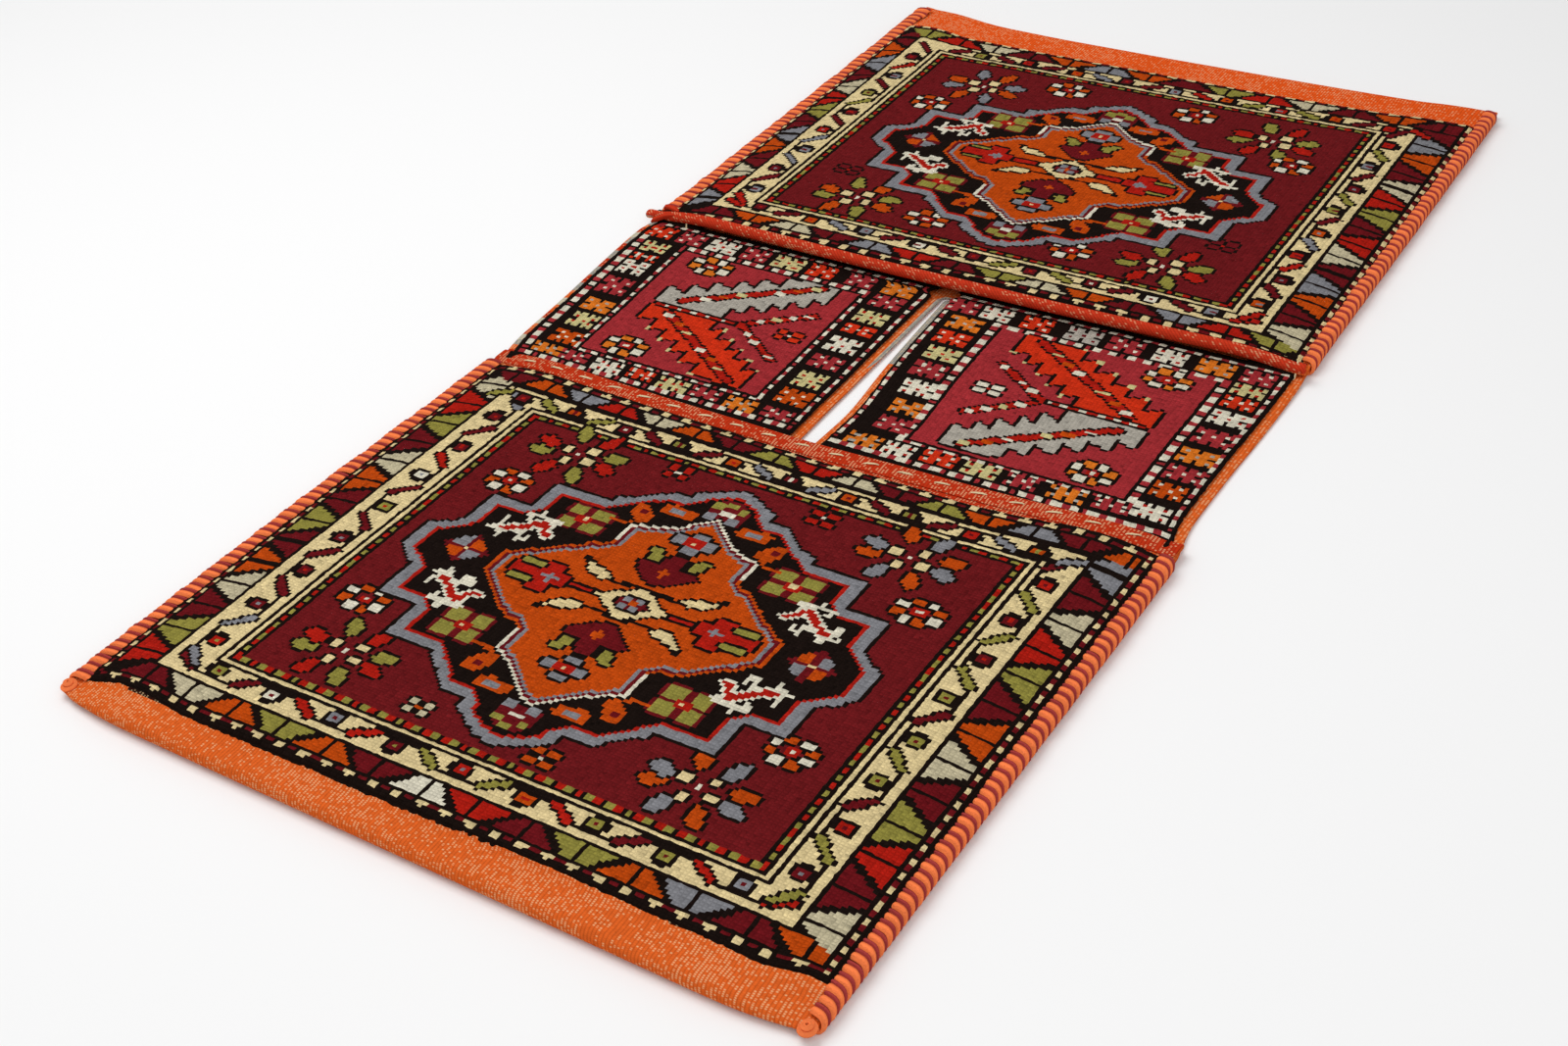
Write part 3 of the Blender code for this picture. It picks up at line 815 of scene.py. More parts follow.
    def meander(self, strip: Strip, flowers: Sequence[tuple[Dye, Dye]], bars: Sequence[Dye]) -> None:
        """Tie the vine of the cream border, with a flower in each bay and a bar between bays.

        Args:
            strip: The border's strip between its rails.
            flowers: Each flower's dye and heart.
            bars: The bars' dyes, with one more bar than flowers.
        """
        pitch = 1 / len(flowers)
        path = [strip.at(-0.15 * pitch, 0.80)]
        for count, (dye, heart) in enumerate(flowers):
            side, flower = (0.20, 0.57) if count % 2 == 0 else (0.80, 0.43)
            path += [strip.at((count + 0.22) * pitch, side), strip.at((count + 0.78) * pitch, side)]
            middle = strip.at((count + 0.5) * pitch, flower)
            root = strip.at((count + 0.5) * pitch, side)
            self.chart.paint(self.chart.stroke([root, middle], 3), Dye.BLACK)
            place = Place(*middle)
            corners = [(-8, -3), (-4, -7), (4, -7), (8, -3), (8, 3), (4, 7), (-4, 7), (-8, 3)]
            self.fill(place, corners, Dye.BLACK)
            self.block(place, 8.8, 7.4, dye)
            self.block(place, 3.5, 2.8, heart)
        last = 0.80 if len(flowers) % 2 else 0.20
        path.append(strip.at(1 + 0.15 * pitch, last))
        self.chart.paint(self.chart.stroke(path, 3.4), Dye.BLACK)
        for count, dye in enumerate(bars):
            low_side, high_side = (0.74, 0.26) if count % 2 == 0 else (0.26, 0.74)
            ends = [
                strip.at((count - 0.13) * pitch, low_side),
                strip.at((count + 0.17) * pitch, high_side),
            ]
            self.chart.paint(self.chart.stroke(ends, 4.6), dye, Dye.BLACK)

    def dashes(
        self, ring: Ring, widths: Point, pitches: Point, parts: Sequence[tuple[float, float, Dye]]
    ) -> None:
        """Tie a dashed line round a rectangle.

        Args:
            ring: The line's rectangle.
            widths: The line's width at the sides and at the ends.
            pitches: The length of one repeat at the sides and at the ends.
            parts: (start, end, dye) of each dash, as shares of a repeat.
        """
        chart = self.chart
        left, low, right, high = ring
        across, along = widths[0] / 2, widths[1] / 2
        inside = (chart.u > left - across) & (chart.u < right + across)
        level = inside & ((abs(chart.v - low) < along) | (abs(chart.v - high) < along))
        inside = (chart.v > low - along) & (chart.v < high + along)
        upright = inside & ((abs(chart.u - left) < across) | (abs(chart.u - right) < across))
        phase = np.where(level, chart.u / pitches[1], chart.v / pitches[0]) % 1
        for start, end, dye in parts:
            chart.paint((level | upright) & (phase >= start) & (phase < end), dye)


def inset(ring: Ring, across: float, along: float | None = None) -> Ring:
    """Shrink a rectangle by a distance at its sides and another at its ends."""
    along = across if along is None else along
    return ring[0] + across, ring[1] + along, ring[2] - across, ring[3] - along


@dataclass(frozen=True)
class BorderDyes:
    """The dyes of a pouch's borders, each from left to right or upwards: low, left, right, high."""

    teeth: tuple[str, str, str, str]
    flowers: tuple[str, str, str, str]
    bars: tuple[str, str, str, str]

    LETTERS = {
        "m": Dye.MAROON, "r": Dye.RED, "o": Dye.ORANGE, "c": Dye.WHITE, "b": Dye.BONE,
        "v": Dye.OLIVE, "g": Dye.GREY, "k": Dye.BLACK, "s": Dye.SUN,
    }

    @classmethod
    def read(cls, letters: str) -> list[Dye]:
        """Turn a row of letters into dyes."""
        return [cls.LETTERS[letter] for letter in letters]


@dataclass
class PouchDesign:
    """The design on a pouch's front, drawn as the weaver's chart has it."""

    edge: Ring
    cream_outer: Ring
    cream_inner: Ring
    centre: Point
    tall: float
    dyes: BorderDyes
    posies: tuple[tuple[float, float], ...]
    clovers: tuple[tuple[float, float, str], ...]
    rosette_reach: Point
    rosettes: tuple[str, str, str, str]
    guard_gaps: Ring
    teeth_spans: tuple[Point, Point, Point, Point]
    vine_spans: tuple[Point, Point, Point, Point]
    sheet: KnotChart = field(init=False)
    motifs: Motifs = field(init=False)

    def chart(self) -> KnotChart:
        """Draw the whole chart."""
        self.sheet = KnotChart(*self.edge, Dye.BLACK)
        self.motifs = Motifs(self.sheet)
        self.draw_borders()
        self.draw_field()
        self.draw_medallion()
        self.draw_heart()
        return self.sheet

    def draw_borders(self) -> None:
        """Tie the guards, the split triangles and the cream border with its vine."""
        chart, motifs = self.sheet, self.motifs
        guard = self.guard
        pitches = 12.5, 18.0
        motifs.dashes(guard, (2.9, 2.4), pitches, ((0.0, 0.43, Dye.CREAM), (0.55, 0.92, Dye.MAROON)))
        motifs.dashes(guard, (2.9, 4.8), pitches, ((0.10, 0.34, Dye.CREAM),))
        tooth_outer = inset(guard, 4.5, 3.6)
        tooth_inner = inset(self.cream_outer, -3.2, -2.6)
        strips = ring_strips(tooth_outer, tooth_inner, self.teeth_spans)
        for strip, letters in zip(strips, self.dyes.teeth):
            motifs.teeth(strip, BorderDyes.read(letters), chart.box(*tooth_outer))
        chart.paint(chart.box(*self.cream_outer), Dye.CREAM)
        rail_outer, rail_inner = inset(self.cream_outer, 3.0, 2.6), inset(self.cream_inner, -6.0, -4.8)
        for strip, flowers, bars in zip(
            ring_strips(rail_outer, rail_inner, self.vine_spans), self.dyes.flowers, self.dyes.bars
        ):
            pairs = list(zip(BorderDyes.read(flowers[::2]), BorderDyes.read(flowers[1::2])))
            motifs.meander(strip, pairs, BorderDyes.read(bars))
        rail = inset(self.cream_inner, -5.8, -4.9)
        chart.paint(chart.box(*rail), Dye.BLACK)
        chart.paint(chart.box(*inset(rail, 2.9, 2.4)), Dye.CREAM)
        chart.paint(chart.box(*self.cream_inner), Dye.BLACK)
        parts = ((0.0, 0.38, Dye.OLIVE), (0.50, 0.88, Dye.RED))
        motifs.dashes(inset(self.cream_inner, 4.4, 3.7), (3.0, 3.0), (14.0, 14.0), parts)
        chart.paint(chart.box(*inset(self.cream_inner, 8.7, 7.3)), Dye.FIELD)

    def draw_field(self) -> None:
        """Tie the rosettes, posies and clovers round the medallion."""
        across, up = self.rosette_reach
        u, v = self.centre
        corners = ((-1, -1), (1, -1), (-1, 1), (1, 1))
        for (side, end), letters in zip(corners, self.rosettes):
            petals = BorderDyes.read(letters)
            self.motifs.rosette(Place(u + side * across, v + end * up), *petals)
        for at in self.posies:
            self.motifs.posy(Place(*at), Dye.WHITE, Dye.ORANGE)
        for clover_u, clover_v, letters in self.clovers:
            self.motifs.clover(Place(clover_u, clover_v), *BorderDyes.read(letters))

    def both_sides(self, half: Sequence[Point]) -> list[Point]:
        """Mirror the left half of an outline and place it round the centre."""
        whole = [*half, *[(-u, v) for u, v in reversed(half)]]
        return Place(*self.centre, 1, self.tall).put(whole)

    def draw_medallion(self) -> None:
        """Tie the stepped medallion and what lies in its black band."""
        chart, motifs = self.sheet, self.motifs
        outer = [
            (0, 134), (-8, 131), (-20, 124), (-31, 119), (-31, 111), (-45, 111), (-55, 104),
            (-65, 96), (-78, 92), (-78, 84), (-123, 84), (-123, 56), (-154, 56), (-154, 27),
            (-163, 18), (-175, 12), (-175, -15), (-165, -24), (-155, -30), (-155, -62),
            (-124, -62), (-124, -92), (-82, -92), (-82, -98), (-70, -106), (-56, -120),
            (-36, -120), (-36, -128), (-24, -136), (-12, -143), (0, -146),
        ]
        shape = chart.shape(self.both_sides(outer))
        chart.paint(shape, Dye.GREY, Dye.BLACK)
        red = shrink(shape, 3)
        chart.paint(red, Dye.RED)
        chart.paint(shrink(red, 1), Dye.BLACK)
        middle = Place(*self.centre, 1, self.tall)
        for side in (-1, 1):
            half = Place(middle.u, middle.v, -side, self.tall)
            for at in ((-82, 61), (-84, -65)):
                motifs.garden_square(half.inside(*at))
            motifs.crab(half.inside(-116, -38))
            upper = half.inside(-114, 36)
            motifs.crab(Place(upper.u, upper.v, upper.wide, -upper.tall))
            motifs.butterfly(half.inside(-134, 0))
            for up in (1, -1):
                leaf = half.inside(-30, 95 if up > 0 else -102)
                motifs.fill(leaf, [(-13, 4), (-7, 6), (12, 5), (14, -3), (8, -6), (-11, -5)], Dye.ORANGE)
                motifs.block(leaf, 12, 4.6, Dye.GREY)
                curl = half.inside(-51, 82 if up > 0 else -88)
                curl = Place(curl.u, curl.v, curl.wide, up * curl.tall)
                motifs.fill(curl, [(-9, 10), (2, 9), (10, -2), (8, -10), (-1, -8), (-9, 1)], Dye.ORANGE)
                motifs.block(curl.inside(-1, 3), 6, 5, Dye.MAROON)
                motifs.line(curl, [(-15, -13), (-6, -13), (4, -10)], 3.4, Dye.ORANGE)
        for up, base in ((1, 96), (-1, -107)):
            face = middle.inside(0, base)
            face = Place(face.u, face.v, 1, up * self.tall)
            motifs.fill(face, [(-15, 2), (-15, 17), (-7, 25), (7, 25), (15, 17), (15, 2)], Dye.MAROON)
            for u, v, wide, tall, dye in (
                (-8, 4, 9, 7, Dye.GREY), (8, 4, 9, 7, Dye.GREY), (-9, 17, 7, 6, Dye.OLIVE),
                (9, 17, 7, 6, Dye.OLIVE), (0, 21, 9, 5, Dye.OLIVE), (0, 11, 11, 4, Dye.WHITE),
            ):
                motifs.block(face.inside(u, v), wide, tall, dye)

    def draw_heart(self) -> None:
        """Tie the orange medallion inside the black band."""
        chart, motifs = self.sheet, self.motifs
        inner = [
            (0, 100), (-10, 91), (-20, 82), (-33, 75), (-50, 71), (-51, 46), (-63, 43), (-67, 37),
            (-77, 32), (-83, 25), (-95, 19), (-101, 13), (-109, 10), (-109, -13), (-102, -18),
            (-95, -25), (-85, -31), (-75, -40), (-65, -46), (-51, -49), (-51, -74), (-45, -76),
            (-33, -83), (-23, -91), (-13, -99), (0, -108),
        ]
        shape = chart.shape(self.both_sides(inner))
        reach = abs(chart.v - self.centre[1]) / self.tall
        chart.paint(shape, Dye.ORANGE, Dye.BLACK)
        edge = shape & ~shrink(shape, 1)
        chart.paint(edge & (reach > 52), Dye.WHITE)
        second = shrink(shape, 1)
        chart.paint(second & ~shrink(second, 1), Dye.MAROON)
        third = shrink(second, 1)
        chart.paint(third & ~shrink(third, 1), Dye.GREY)
        middle = Place(*self.centre, 1, self.tall)
        for side in (-1, 1):
            half = Place(middle.u, middle.v, -side, self.tall)
            motifs.line(half, [(-58, -0.5), (-24, -0.5)], 3.4, Dye.RED, Dye.BLACK)
            cross = chart.shape(half.put([(-94, 5), (-50, 5), (-50, -6), (-94, -6)]))
            cross |= chart.shape(half.put([(-73, 14), (-60, 14), (-60, -15), (-73, -15)]))
            chart.paint(cross, Dye.RED, Dye.BLACK)
            for v in (8, -9):
                motifs.block(half.inside(-82, v), 18, 3.4, Dye.OLIVE, Dye.BLACK)
            motifs.line(half, [(-69, -0.5), (-59, -0.5)], 2.6, Dye.GREY)
            motifs.line(half, [(-64, 3), (-64, -4)], 2.6, Dye.GREY)
            for up in (1, -1):
                leaf = [(-26, 15), (-33, 21), (-44, 23), (-54, 27), (-44, 15), (-34, 14)]
                motifs.line(half, [(0, up * 16), (-27, up * 15)], 2.8, Dye.BLACK)
                motifs.fill(half, [(u, up * v) for u, v in leaf], Dye.CREAM, Dye.BLACK)
                motifs.block(half.inside(-54, up * 27), 6, 5, Dye.BLACK)
        motifs.fill(middle, [(-27, 0), (0, 17), (27, 0), (0, -17)], Dye.CREAM, Dye.BLACK)
        motifs.fill(middle, [(-15, 0), (-7, 9), (7, 9), (15, 0), (7, -9), (-7, -9)], Dye.BLACK)
        motifs.fill(middle, [(-12, 0), (-5, 7), (5, 7), (12, 0), (5, -7), (-5, -7)], Dye.MAROON)
        for u, v in ((-5, 4), (5, 4), (-5, -4), (5, -4)):
            motifs.block(middle.inside(u, v), 6, 5, Dye.GREY)
        motifs.block(middle, 5, 4.5, Dye.ORANGE)
        for up in (1, -1):
            half = Place(middle.u, middle.v, 1, -up * self.tall)
            bell = [(0, -22), (-10, -26), (-23, -38), (-22, -42), (-7, -43), (-6, -54), (6, -54)]
            bell += [(7, -43), (22, -42), (23, -38), (10, -26)]
            motifs.fill(half, bell, Dye.MAROON, Dye.BLACK)
            motifs.block(half.inside(0, -35), 10, 3, Dye.ORANGE)
            motifs.block(half.inside(0, -35), 3, 8, Dye.ORANGE)
            for side in (-1, 1):
                hook = [(side * 12, -44), (side * 19, -44), (side * 21, -52), (side * 24, -56)]
                hook += [(side * 15, -56), (side * 11, -50)]
                motifs.fill(half, hook, Dye.OLIVE, Dye.BLACK)
            lily = half.inside(0, -70)
            for u, v, wide, tall in ((-12, 0, 9, 9), (12, 0, 9, 9), (0, 8, 12, 6), (0, -8, 12, 6)):
                motifs.block(lily.inside(u, v), wide, tall, Dye.GREY, Dye.BLACK)
            motifs.block(lily, 14, 9, Dye.RED)
            motifs.block(lily, 3.5, 3, Dye.CREAM)

    @property
    def guard(self) -> Ring:
        """The rectangle of the dashed outer guard."""
        left, low, right, high = self.edge
        gaps = self.guard_gaps
        return left + gaps[0], low + gaps[1], right - gaps[2], high - gaps[3]


NEAR_DESIGN = PouchDesign(
    edge=(-272.0, -526.0, 278.0, -122.0),
    cream_outer=(-228.0, -497.0, 241.0, -145.0),
    cream_inner=(-192.0, -472.0, 208.0, -166.0),
    centre=(5.0, -313.0),
    tall=1.0,
    dyes=BorderDyes(
        teeth=("mbovomcrmvogmo", "rvmbomvmobmvrb", "bmrvmbomvrbmg", "mogrbomvrbmvogmo"),
        flowers=("vmcmgmmvrgorvmvmgm", "rvmgmrmgvrcgmrmr", "mgrmvmvmvmmrmrrm", "mrommcvmormcomvmrmov"),
        bars=("mmrrvvrmrr", "ggmmmmrmg", "vvmvmvvvm", "vvvmmggmmgg"),
    ),
    posies=((-153, -386), (169, -383), (-152, -239), (171, -239)),
    clovers=((-52, -453, "bo"), (43, -454, "oc"), (-52, -180, "rc"), (65, -182, "rc")),
    rosette_reach=(133.0, 120.0),
    rosettes=("vr", "og", "vr", "og"),
    guard_gaps=(9.5, 7.5, 7.0, 5.0),
    teeth_spans=((-244.0, 276.0), (-502.0, -135.0), (-502.0, -137.0), (-251.0, 279.0)),
    vine_spans=((-212.0, 225.0), (-481.4, -160.6), (-481.4, -160.6), (-232.0, 231.0)),
)

FAR_DESIGN = PouchDesign(
    edge=(-275.0, 127.0, 267.0, 511.0),
    cream_outer=(-241.0, 152.0, 229.0, 490.0),
    cream_inner=(-205.0, 171.0, 200.0, 472.0),
    centre=(-4.0, 317.0),
    tall=0.92,
    dyes=BorderDyes(
        teeth=("mobmgrmvbomgrv", "grbmogmvrbmgom", "bmogmbrmvrbmogm", "vrbmogomvrbmom"),
        flowers=("mrorgmcmmrmrmccmgm", "gmmggmrgmrvmgmmr", "ogmgrmogvmmggmrm", "vmrmormrgmomrgorrm"),
        bars=("rmgmmvvmmr", "rmggmvmrm", "rmrgmvmvm", "mmmgmrvvmr"),
    ),
    posies=((-167, 382), (158, 394), (-66, 449), (53, 447), (-69, 198), (56, 200)),
    clovers=((-170, 246, "mr"), (158, 254, "mr")),
    rosette_reach=(134.0, 110.0),
    rosettes=("vo", "vr", "go", "vr"),
    guard_gaps=(6.5, 7.5, 5.0, 3.5),
    teeth_spans=((-249.0, 261.0), (150.5, 499.5), (148.0, 502.0), (-255.0, 265.0)),
    vine_spans=((-225.0, 213.0), (167.6, 474.4), (167.6, 474.4), (-192.0, 231.0)),
)


@dataclass
class BridgeDesign:
    """The design on one half of the bridge: hash flowers round a raspberry field with two leaves."""

    edge: Ring
    guard: Ring
    field_guard: Ring
    flowers: tuple[tuple[float, float, str, float], ...]
    mirrored: bool
    middle: Point

    FLOWER_DYES = {
        "m": (Dye.RASPBERRY, Dye.WHITE), "r": (Dye.FLAME, Dye.WHITE), "s": (Dye.SUN, Dye.SILVER),
        "v": (Dye.STRAW, Dye.RED), "c": (Dye.WHITE, Dye.RED), "o": (Dye.ORANGE, Dye.WHITE),
        "g": (Dye.SILVER, Dye.MAROON),
    }

    def chart(self) -> KnotChart:
        """Draw the whole chart."""
        chart = KnotChart(*self.edge, Dye.BLACK)
        motifs = Motifs(chart)
        dashes = ((0.0, 0.52, Dye.WHITE), (0.58, 0.94, Dye.RASPBERRY))
        for ring in (self.guard, self.field_guard):
            motifs.dashes(ring, (4.4, 4.4), (13.0, 13.0), dashes)
        chart.paint(chart.box(*inset(self.field_guard, 4.5, 4.0)), Dye.RASPBERRY)
        for u, v, letter, tall in self.flowers:
            motifs.hash_flower(Place(u, v), *self.FLOWER_DYES[letter], tall)
        self.draw_leaves(motifs)
        return chart

    def draw_leaves(self, motifs: Motifs) -> None:
        """Tie the two serrated leaves, the stem with its fork and the small flowers."""
        side = -1 if self.mirrored else 1
        place = Place(*self.middle, side, side)
        for up, dye in ((1, Dye.SILVER), (-1, Dye.FLAME)):
            half = Place(place.u, place.v, place.wide, place.tall * up)
            self.draw_leaf(motifs, half, dye)
        motifs.line(place, [(-58, -1), (18, -1)], 3.6, Dye.RED, Dye.BLACK)
        for u in (-50, -38, -26, -12, 2, 14):
            motifs.block(place.inside(u, -1), 5, 3, Dye.WHITE)
        wools = {"r": Dye.RED, "v": Dye.STRAW, "w": Dye.WHITE}
        for up, letters in ((1, "rwvww"), (-1, "rwwrw")):
            motifs.line(place, [(18, 0), (64, up * 33)], 4.4, Dye.RED, Dye.BLACK)
            for count, letter in enumerate(letters):
                at = place.inside(mix(20, 60, count / 4), up * mix(2, 30, count / 4))
                motifs.block(at, 7, 4.4, wools[letter])
        heart = Dye.RED if self.mirrored else Dye.WHITE
        petals = Dye.WHITE if self.mirrored else Dye.FLAME
        motifs.clover(place.inside(59, 1), petals, heart)
        for up in (1, -1):
            motifs.posy(place.inside(-48, up * 62), Dye.WHITE, Dye.SUN)

    def draw_leaf(self, motifs: Motifs, place: Place, dye: Dye) -> None:
        """Tie one serrated leaf with a striped midrib."""
        upper = [(mix(-62, 18, count / 5), mix(24, 73, count / 5)) for count in range(6)]
        lower = [(mix(63, -3, count / 5), mix(49, 3, count / 5)) for count in range(6)]
        outline = [(-62, 3)]
        for u, v in upper:
            outline += [(u, v), (u + 15.5, v - 5)]
        outline[-1] = (62, 74)
        for u, v in lower:
            outline += [(u, v), (u - 12.7, v + 6)]
        outline[-1] = (-62, 3)
        motifs.fill(place, outline, dye, Dye.BLACK)
        for u, v in [*upper[1:], *lower] if dye is Dye.FLAME else ():
            motifs.block(place.inside(u, v), 3.6, 3.4, Dye.STRAW)
        stripes = (Dye.RED, Dye.WHITE, Dye.ORANGE, Dye.STRAW)
        first = 0 if dye is Dye.SILVER else 1
        motifs.line(place, [(-44, 9), (50, 70)], 5.5, Dye.RED, Dye.BLACK)
        for count in range(8):
            at = place.inside(mix(-40, 46, count / 7), mix(12, 67, count / 7))
            motifs.block(at, 9, 4.2, stripes[(first + count) % 4])


LEFT_BRIDGE = BridgeDesign(
    edge=(-272.0, -117.0, -12.0, 114.0),
    guard=(-264.0, -100.5, -16.5, 105.4),
    field_guard=(-224.0, -79.5, -57.0, 80.5),
    flowers=(
        (-255, 93, "r", 16), (-226, 93, "m", 17), (-195, 93, "c", 18), (-165, 93, "m", 17),
        (-135, 93, "v", 18), (-104, 93, "r", 18), (-70, 93, "m", 18), (-37, 93, "s", 18),
        (-246, 70, "v", 15), (-246, 54, "r", 9), (-246, 38, "c", 19), (-244, 8, "m", 22),
        (-242, -22, "s", 19), (-240, -45, "v", 18), (-238, -69, "o", 17), (-245, -90, "s", 12),
        (-219, -90, "m", 12), (-186, -90, "c", 14), (-156, -89, "r", 13), (-127, -90, "v", 14),
        (-97, -90, "m", 12), (-66, -90, "s", 14), (-33, -90, "m", 12), (-37, 74, "m", 17),
        (-37, 50, "v", 17), (-37, 31, "r", 13), (-36, 8, "c", 20), (-36, -17, "m", 17),
        (-35, -43, "v", 19), (-34, -67, "o", 18),
    ),
    mirrored=False,
    middle=(-140.0, 1.0),
)

RIGHT_BRIDGE = BridgeDesign(
    edge=(9.0, -117.0, 268.0, 114.0),
    guard=(14.0, -100.5, 264.0, 105.4),
    field_guard=(56.0, -79.5, 230.0, 81.0),
    flowers=(
        (22, 93, "m", 17), (50, 93, "c", 18), (82, 93, "r", 18), (118, 93, "g", 18),
        (151, 93, "m", 17), (184, 93, "c", 18), (217, 93, "s", 18), (248, 93, "m", 17),
        (33, 73, "s", 17), (33, 51, "r", 17), (36, 28, "v", 18), (37, 6, "m", 18),
        (39, -19, "c", 19), (41, -43, "s", 18), (42, -66, "m", 17), (34, -90, "s", 14),
        (61, -90, "c", 14), (92, -89, "r", 14), (124, -89, "v", 14), (155, -88, "m", 13),
        (188, -88, "s", 14), (220, -87, "m", 13), (247, -82, "c", 16), (248, 76, "v", 14),
        (248, 59, "r", 14), (249, 39, "c", 17), (249, 13, "m", 18), (249, -12, "s", 18),
        (249, -34, "m", 17), (248, -56, "o", 17),
    ),
    mirrored=True,
    middle=(145.0, 3.0),
)


# The two tips and two threads at the roll's ends: the yarn's radius, then its points across, along and up
# in the charts' millimetres, where a height of 0 lies on the cloth.
ROLL_STRANDS = (
    (0.0026, ((-268, 129, 16.5), (-276, 132, 16), (-283, 135, 14), (-288, 136, 12))),
    (0.0024, ((-268, 125, 15), (-277, 124, 13), (-285, 121, 10), (-290, 119, 7))),
    (0.0007, ((-254, 112, 0), (-255, 116, 0), (-257, 121, 0), (-258, 126, 0))),
    (0.0007, ((262, 119, 0), (264, 123, 0), (264, 128, 0), (261, 132, 0))),
)


class GroundWool(Enum):
    """The wools of the flat-woven parts, as sRGB colours."""

    ORANGE = "CC5A22"
    FAR_BAND = "D45019"
    HEM = "AD2E13"
    ROLL = "B5331C"
    DARK = "2A100C"
    GREY_EDGE = "8F8B82"
    PALE_EDGE = "B5AD98"


@dataclass
class Saddlebag:
    """The whole bag: its cloth, its pile panels and its seams."""

    finishes: Finishes
    guide: ClothGuide = field(init=False)
    seam_cover: float = 0.0045
    selvedge: float = 0.0065
    swell: float = 0.0006
    swell_scale: float = 13.0
    corner_flare: Point = (0.012, 0.009)
    bridge_stretch: float = 1.0124
    bridge_shift: float = 0.0142
    stitch_pitch: float = 0.0269
    stitch_length: float = 0.0120
    stitch_lean: float = -0.19

    # How far the pile's ends stand in from its chart's edge, by the place across, in millimetres.
    NEAR_EDGE = (
        (-275, 2), (-262, 4), (-240, 7), (-215, 6), (-180, 2), (200, 1), (240, 0), (262, 6), (278, 8),
    )
    FAR_EDGE = ((-275, 19), (-255, 14), (-240, 11), (-220, 6), (-200, 2), (200, 2), (240, 8), (260, 14))

    # Where the flat-woven parts lie along the charts, in millimetres, and the heights that part them.
    ROLL_SPAN = (108.0, 129.0)
    HEM_SPAN = (-124.5, -85.0)
    BRIDGE_SPAN = (-108.0, 125.0)
    SLIT_SPAN = (-20.0, 18.0)
    PILE_ENDS = (-521.0, 508.0)
    GREY_SLIT_START = 26.0
    EDGE_PATCH = 7
    FAR_BAND_START = 480.0
    LEFT_SELVEDGE = -250.0
    BACK_TOP = 0.0015
    FRONT_START = 0.0088
    FRONT_TOP = 0.0135

    def between_seams(self, across: float, y: float) -> Point:
        """Give the place at a share across a pouch's front, between its seams."""
        left = self.guide.edge(y, -1) + self.seam_cover
        right = self.guide.edge(y, 1) - self.seam_cover
        return mix(left, right, across), y

    def near_place(self, across: float, along: float) -> Point:
        """Give the place on the near front at shares across and along its chart."""
        left, low, right, high = NEAR_DESIGN.edge
        u, y = mix(left, right, across), on_bag(0.0, mix(low, high, along))[1]
        mouth = 0.0216 * max(0.0, 0.55 - across) + 0.012 * smooth((across - 0.74) / 0.20)
        y += mouth * math.exp((along - 1) * 16)
        y += float(np.interp(u, *zip(*self.NEAR_EDGE))) * MILLIMETRE * (1 - along) ** 16
        return self.between_seams(across, y)

    def far_place(self, across: float, along: float) -> Point:
        """Give the place on the far front at shares across and along its chart."""
        left, low, right, high = FAR_DESIGN.edge
        u, y = mix(left, right, across), on_bag(0.0, mix(low, high, along))[1]
        y += (0.013 if across < 0.4 else 0.008) * abs((across - 0.4) / 0.6) ** 2.2 * along**6
        y += float(np.interp(u, *zip(*self.FAR_EDGE))) * MILLIMETRE * along**9
        return self.between_seams(across, y)

    def bridge_place(self, side: int) -> Callable[[float, float], Point]:
        """Give the placing of the bridge's panel on one side of the slit.

        Args:
            side: -1 for the left panel and 1 for the right one.

        Returns:
            A function from shares across and along to the place.
        """

        def place(across: float, along: float) -> Point:
            """Give one place of the panel."""
            y = on_bag(0.0, mix(LEFT_BRIDGE.edge[1], LEFT_BRIDGE.edge[3], along))[1]
            y = y * self.bridge_stretch + self.bridge_shift
            outer = self.guide.edge(y, side) - side * self.selvedge
            inner = self.guide.slit_edge(y, side) + side * self.selvedge
            ends = (outer, inner) if side < 0 else (inner, outer)
            return mix(*ends, across), y

        return place

    def build_panels(self) -> list[bpy.types.Object]:
        """Make the pile panels."""
        under = {"ceiling": 0.0098, "least": 0.0058}
        panels = [
            PilePanel("near_pile", NEAR_DESIGN.chart(), self.near_place),
            PilePanel("far_pile", FAR_DESIGN.chart(), self.far_place),
            PilePanel("bridge_left_pile", LEFT_BRIDGE.chart(), self.bridge_place(-1), **under),
            PilePanel("bridge_right_pile", RIGHT_BRIDGE.chart(), self.bridge_place(1), **under),
        ]
        return [panel.build(self.guide, self.finishes) for panel in panels]

    def build_hem_stitches(self) -> bpy.types.Object:
        """Make the cream running stitches that hold the near hem."""
        steps, reach = 80, 0.243
        points = []
        for step in range(steps + 1):
            across = mix(-reach, reach + 0.003, step / steps)
            x, y = across + CHART_ORIGIN[0], -0.1215 + 0.0115 * (across / 0.28) ** 2
            points.append((x, y, self.guide.top(x, y)))
        wool = self.finishes.cream_yarn
        line = line_mesh("hem_line", points)
        stitch = bent_yarn("hem_stitch", self.stitch_length, 0.0017, 0.0009, wool, self.stitch_lean)
        return repeat_along("hem_stitches", line, stitch, self.stitch_pitch, wool, 0.10)

    def build_roll_ends(self) -> bpy.types.Object:
        """Make the roll's two loose tips at its left end and the cream threads that hold its ends."""
        red, cream = self.finishes.red_yarn, self.finishes.cream_yarn
        wools = {"upper_tip": red, "lower_tip": red, "left_thread": cream, "right_thread": cream}
        parts = []
        for (label, wool), (radius, line) in zip(wools.items(), ROLL_STRANDS):
            points = []
            for u, v, z in line:
                x, y = on_bag(u, v)
                points.append((x, y, z * MILLIMETRE if z else self.guide.top(x, y) + radius / 2))
            parts.append(link(label, tube(label, finer(points, 6), radius, wool)))
        return join("roll_ends", parts)

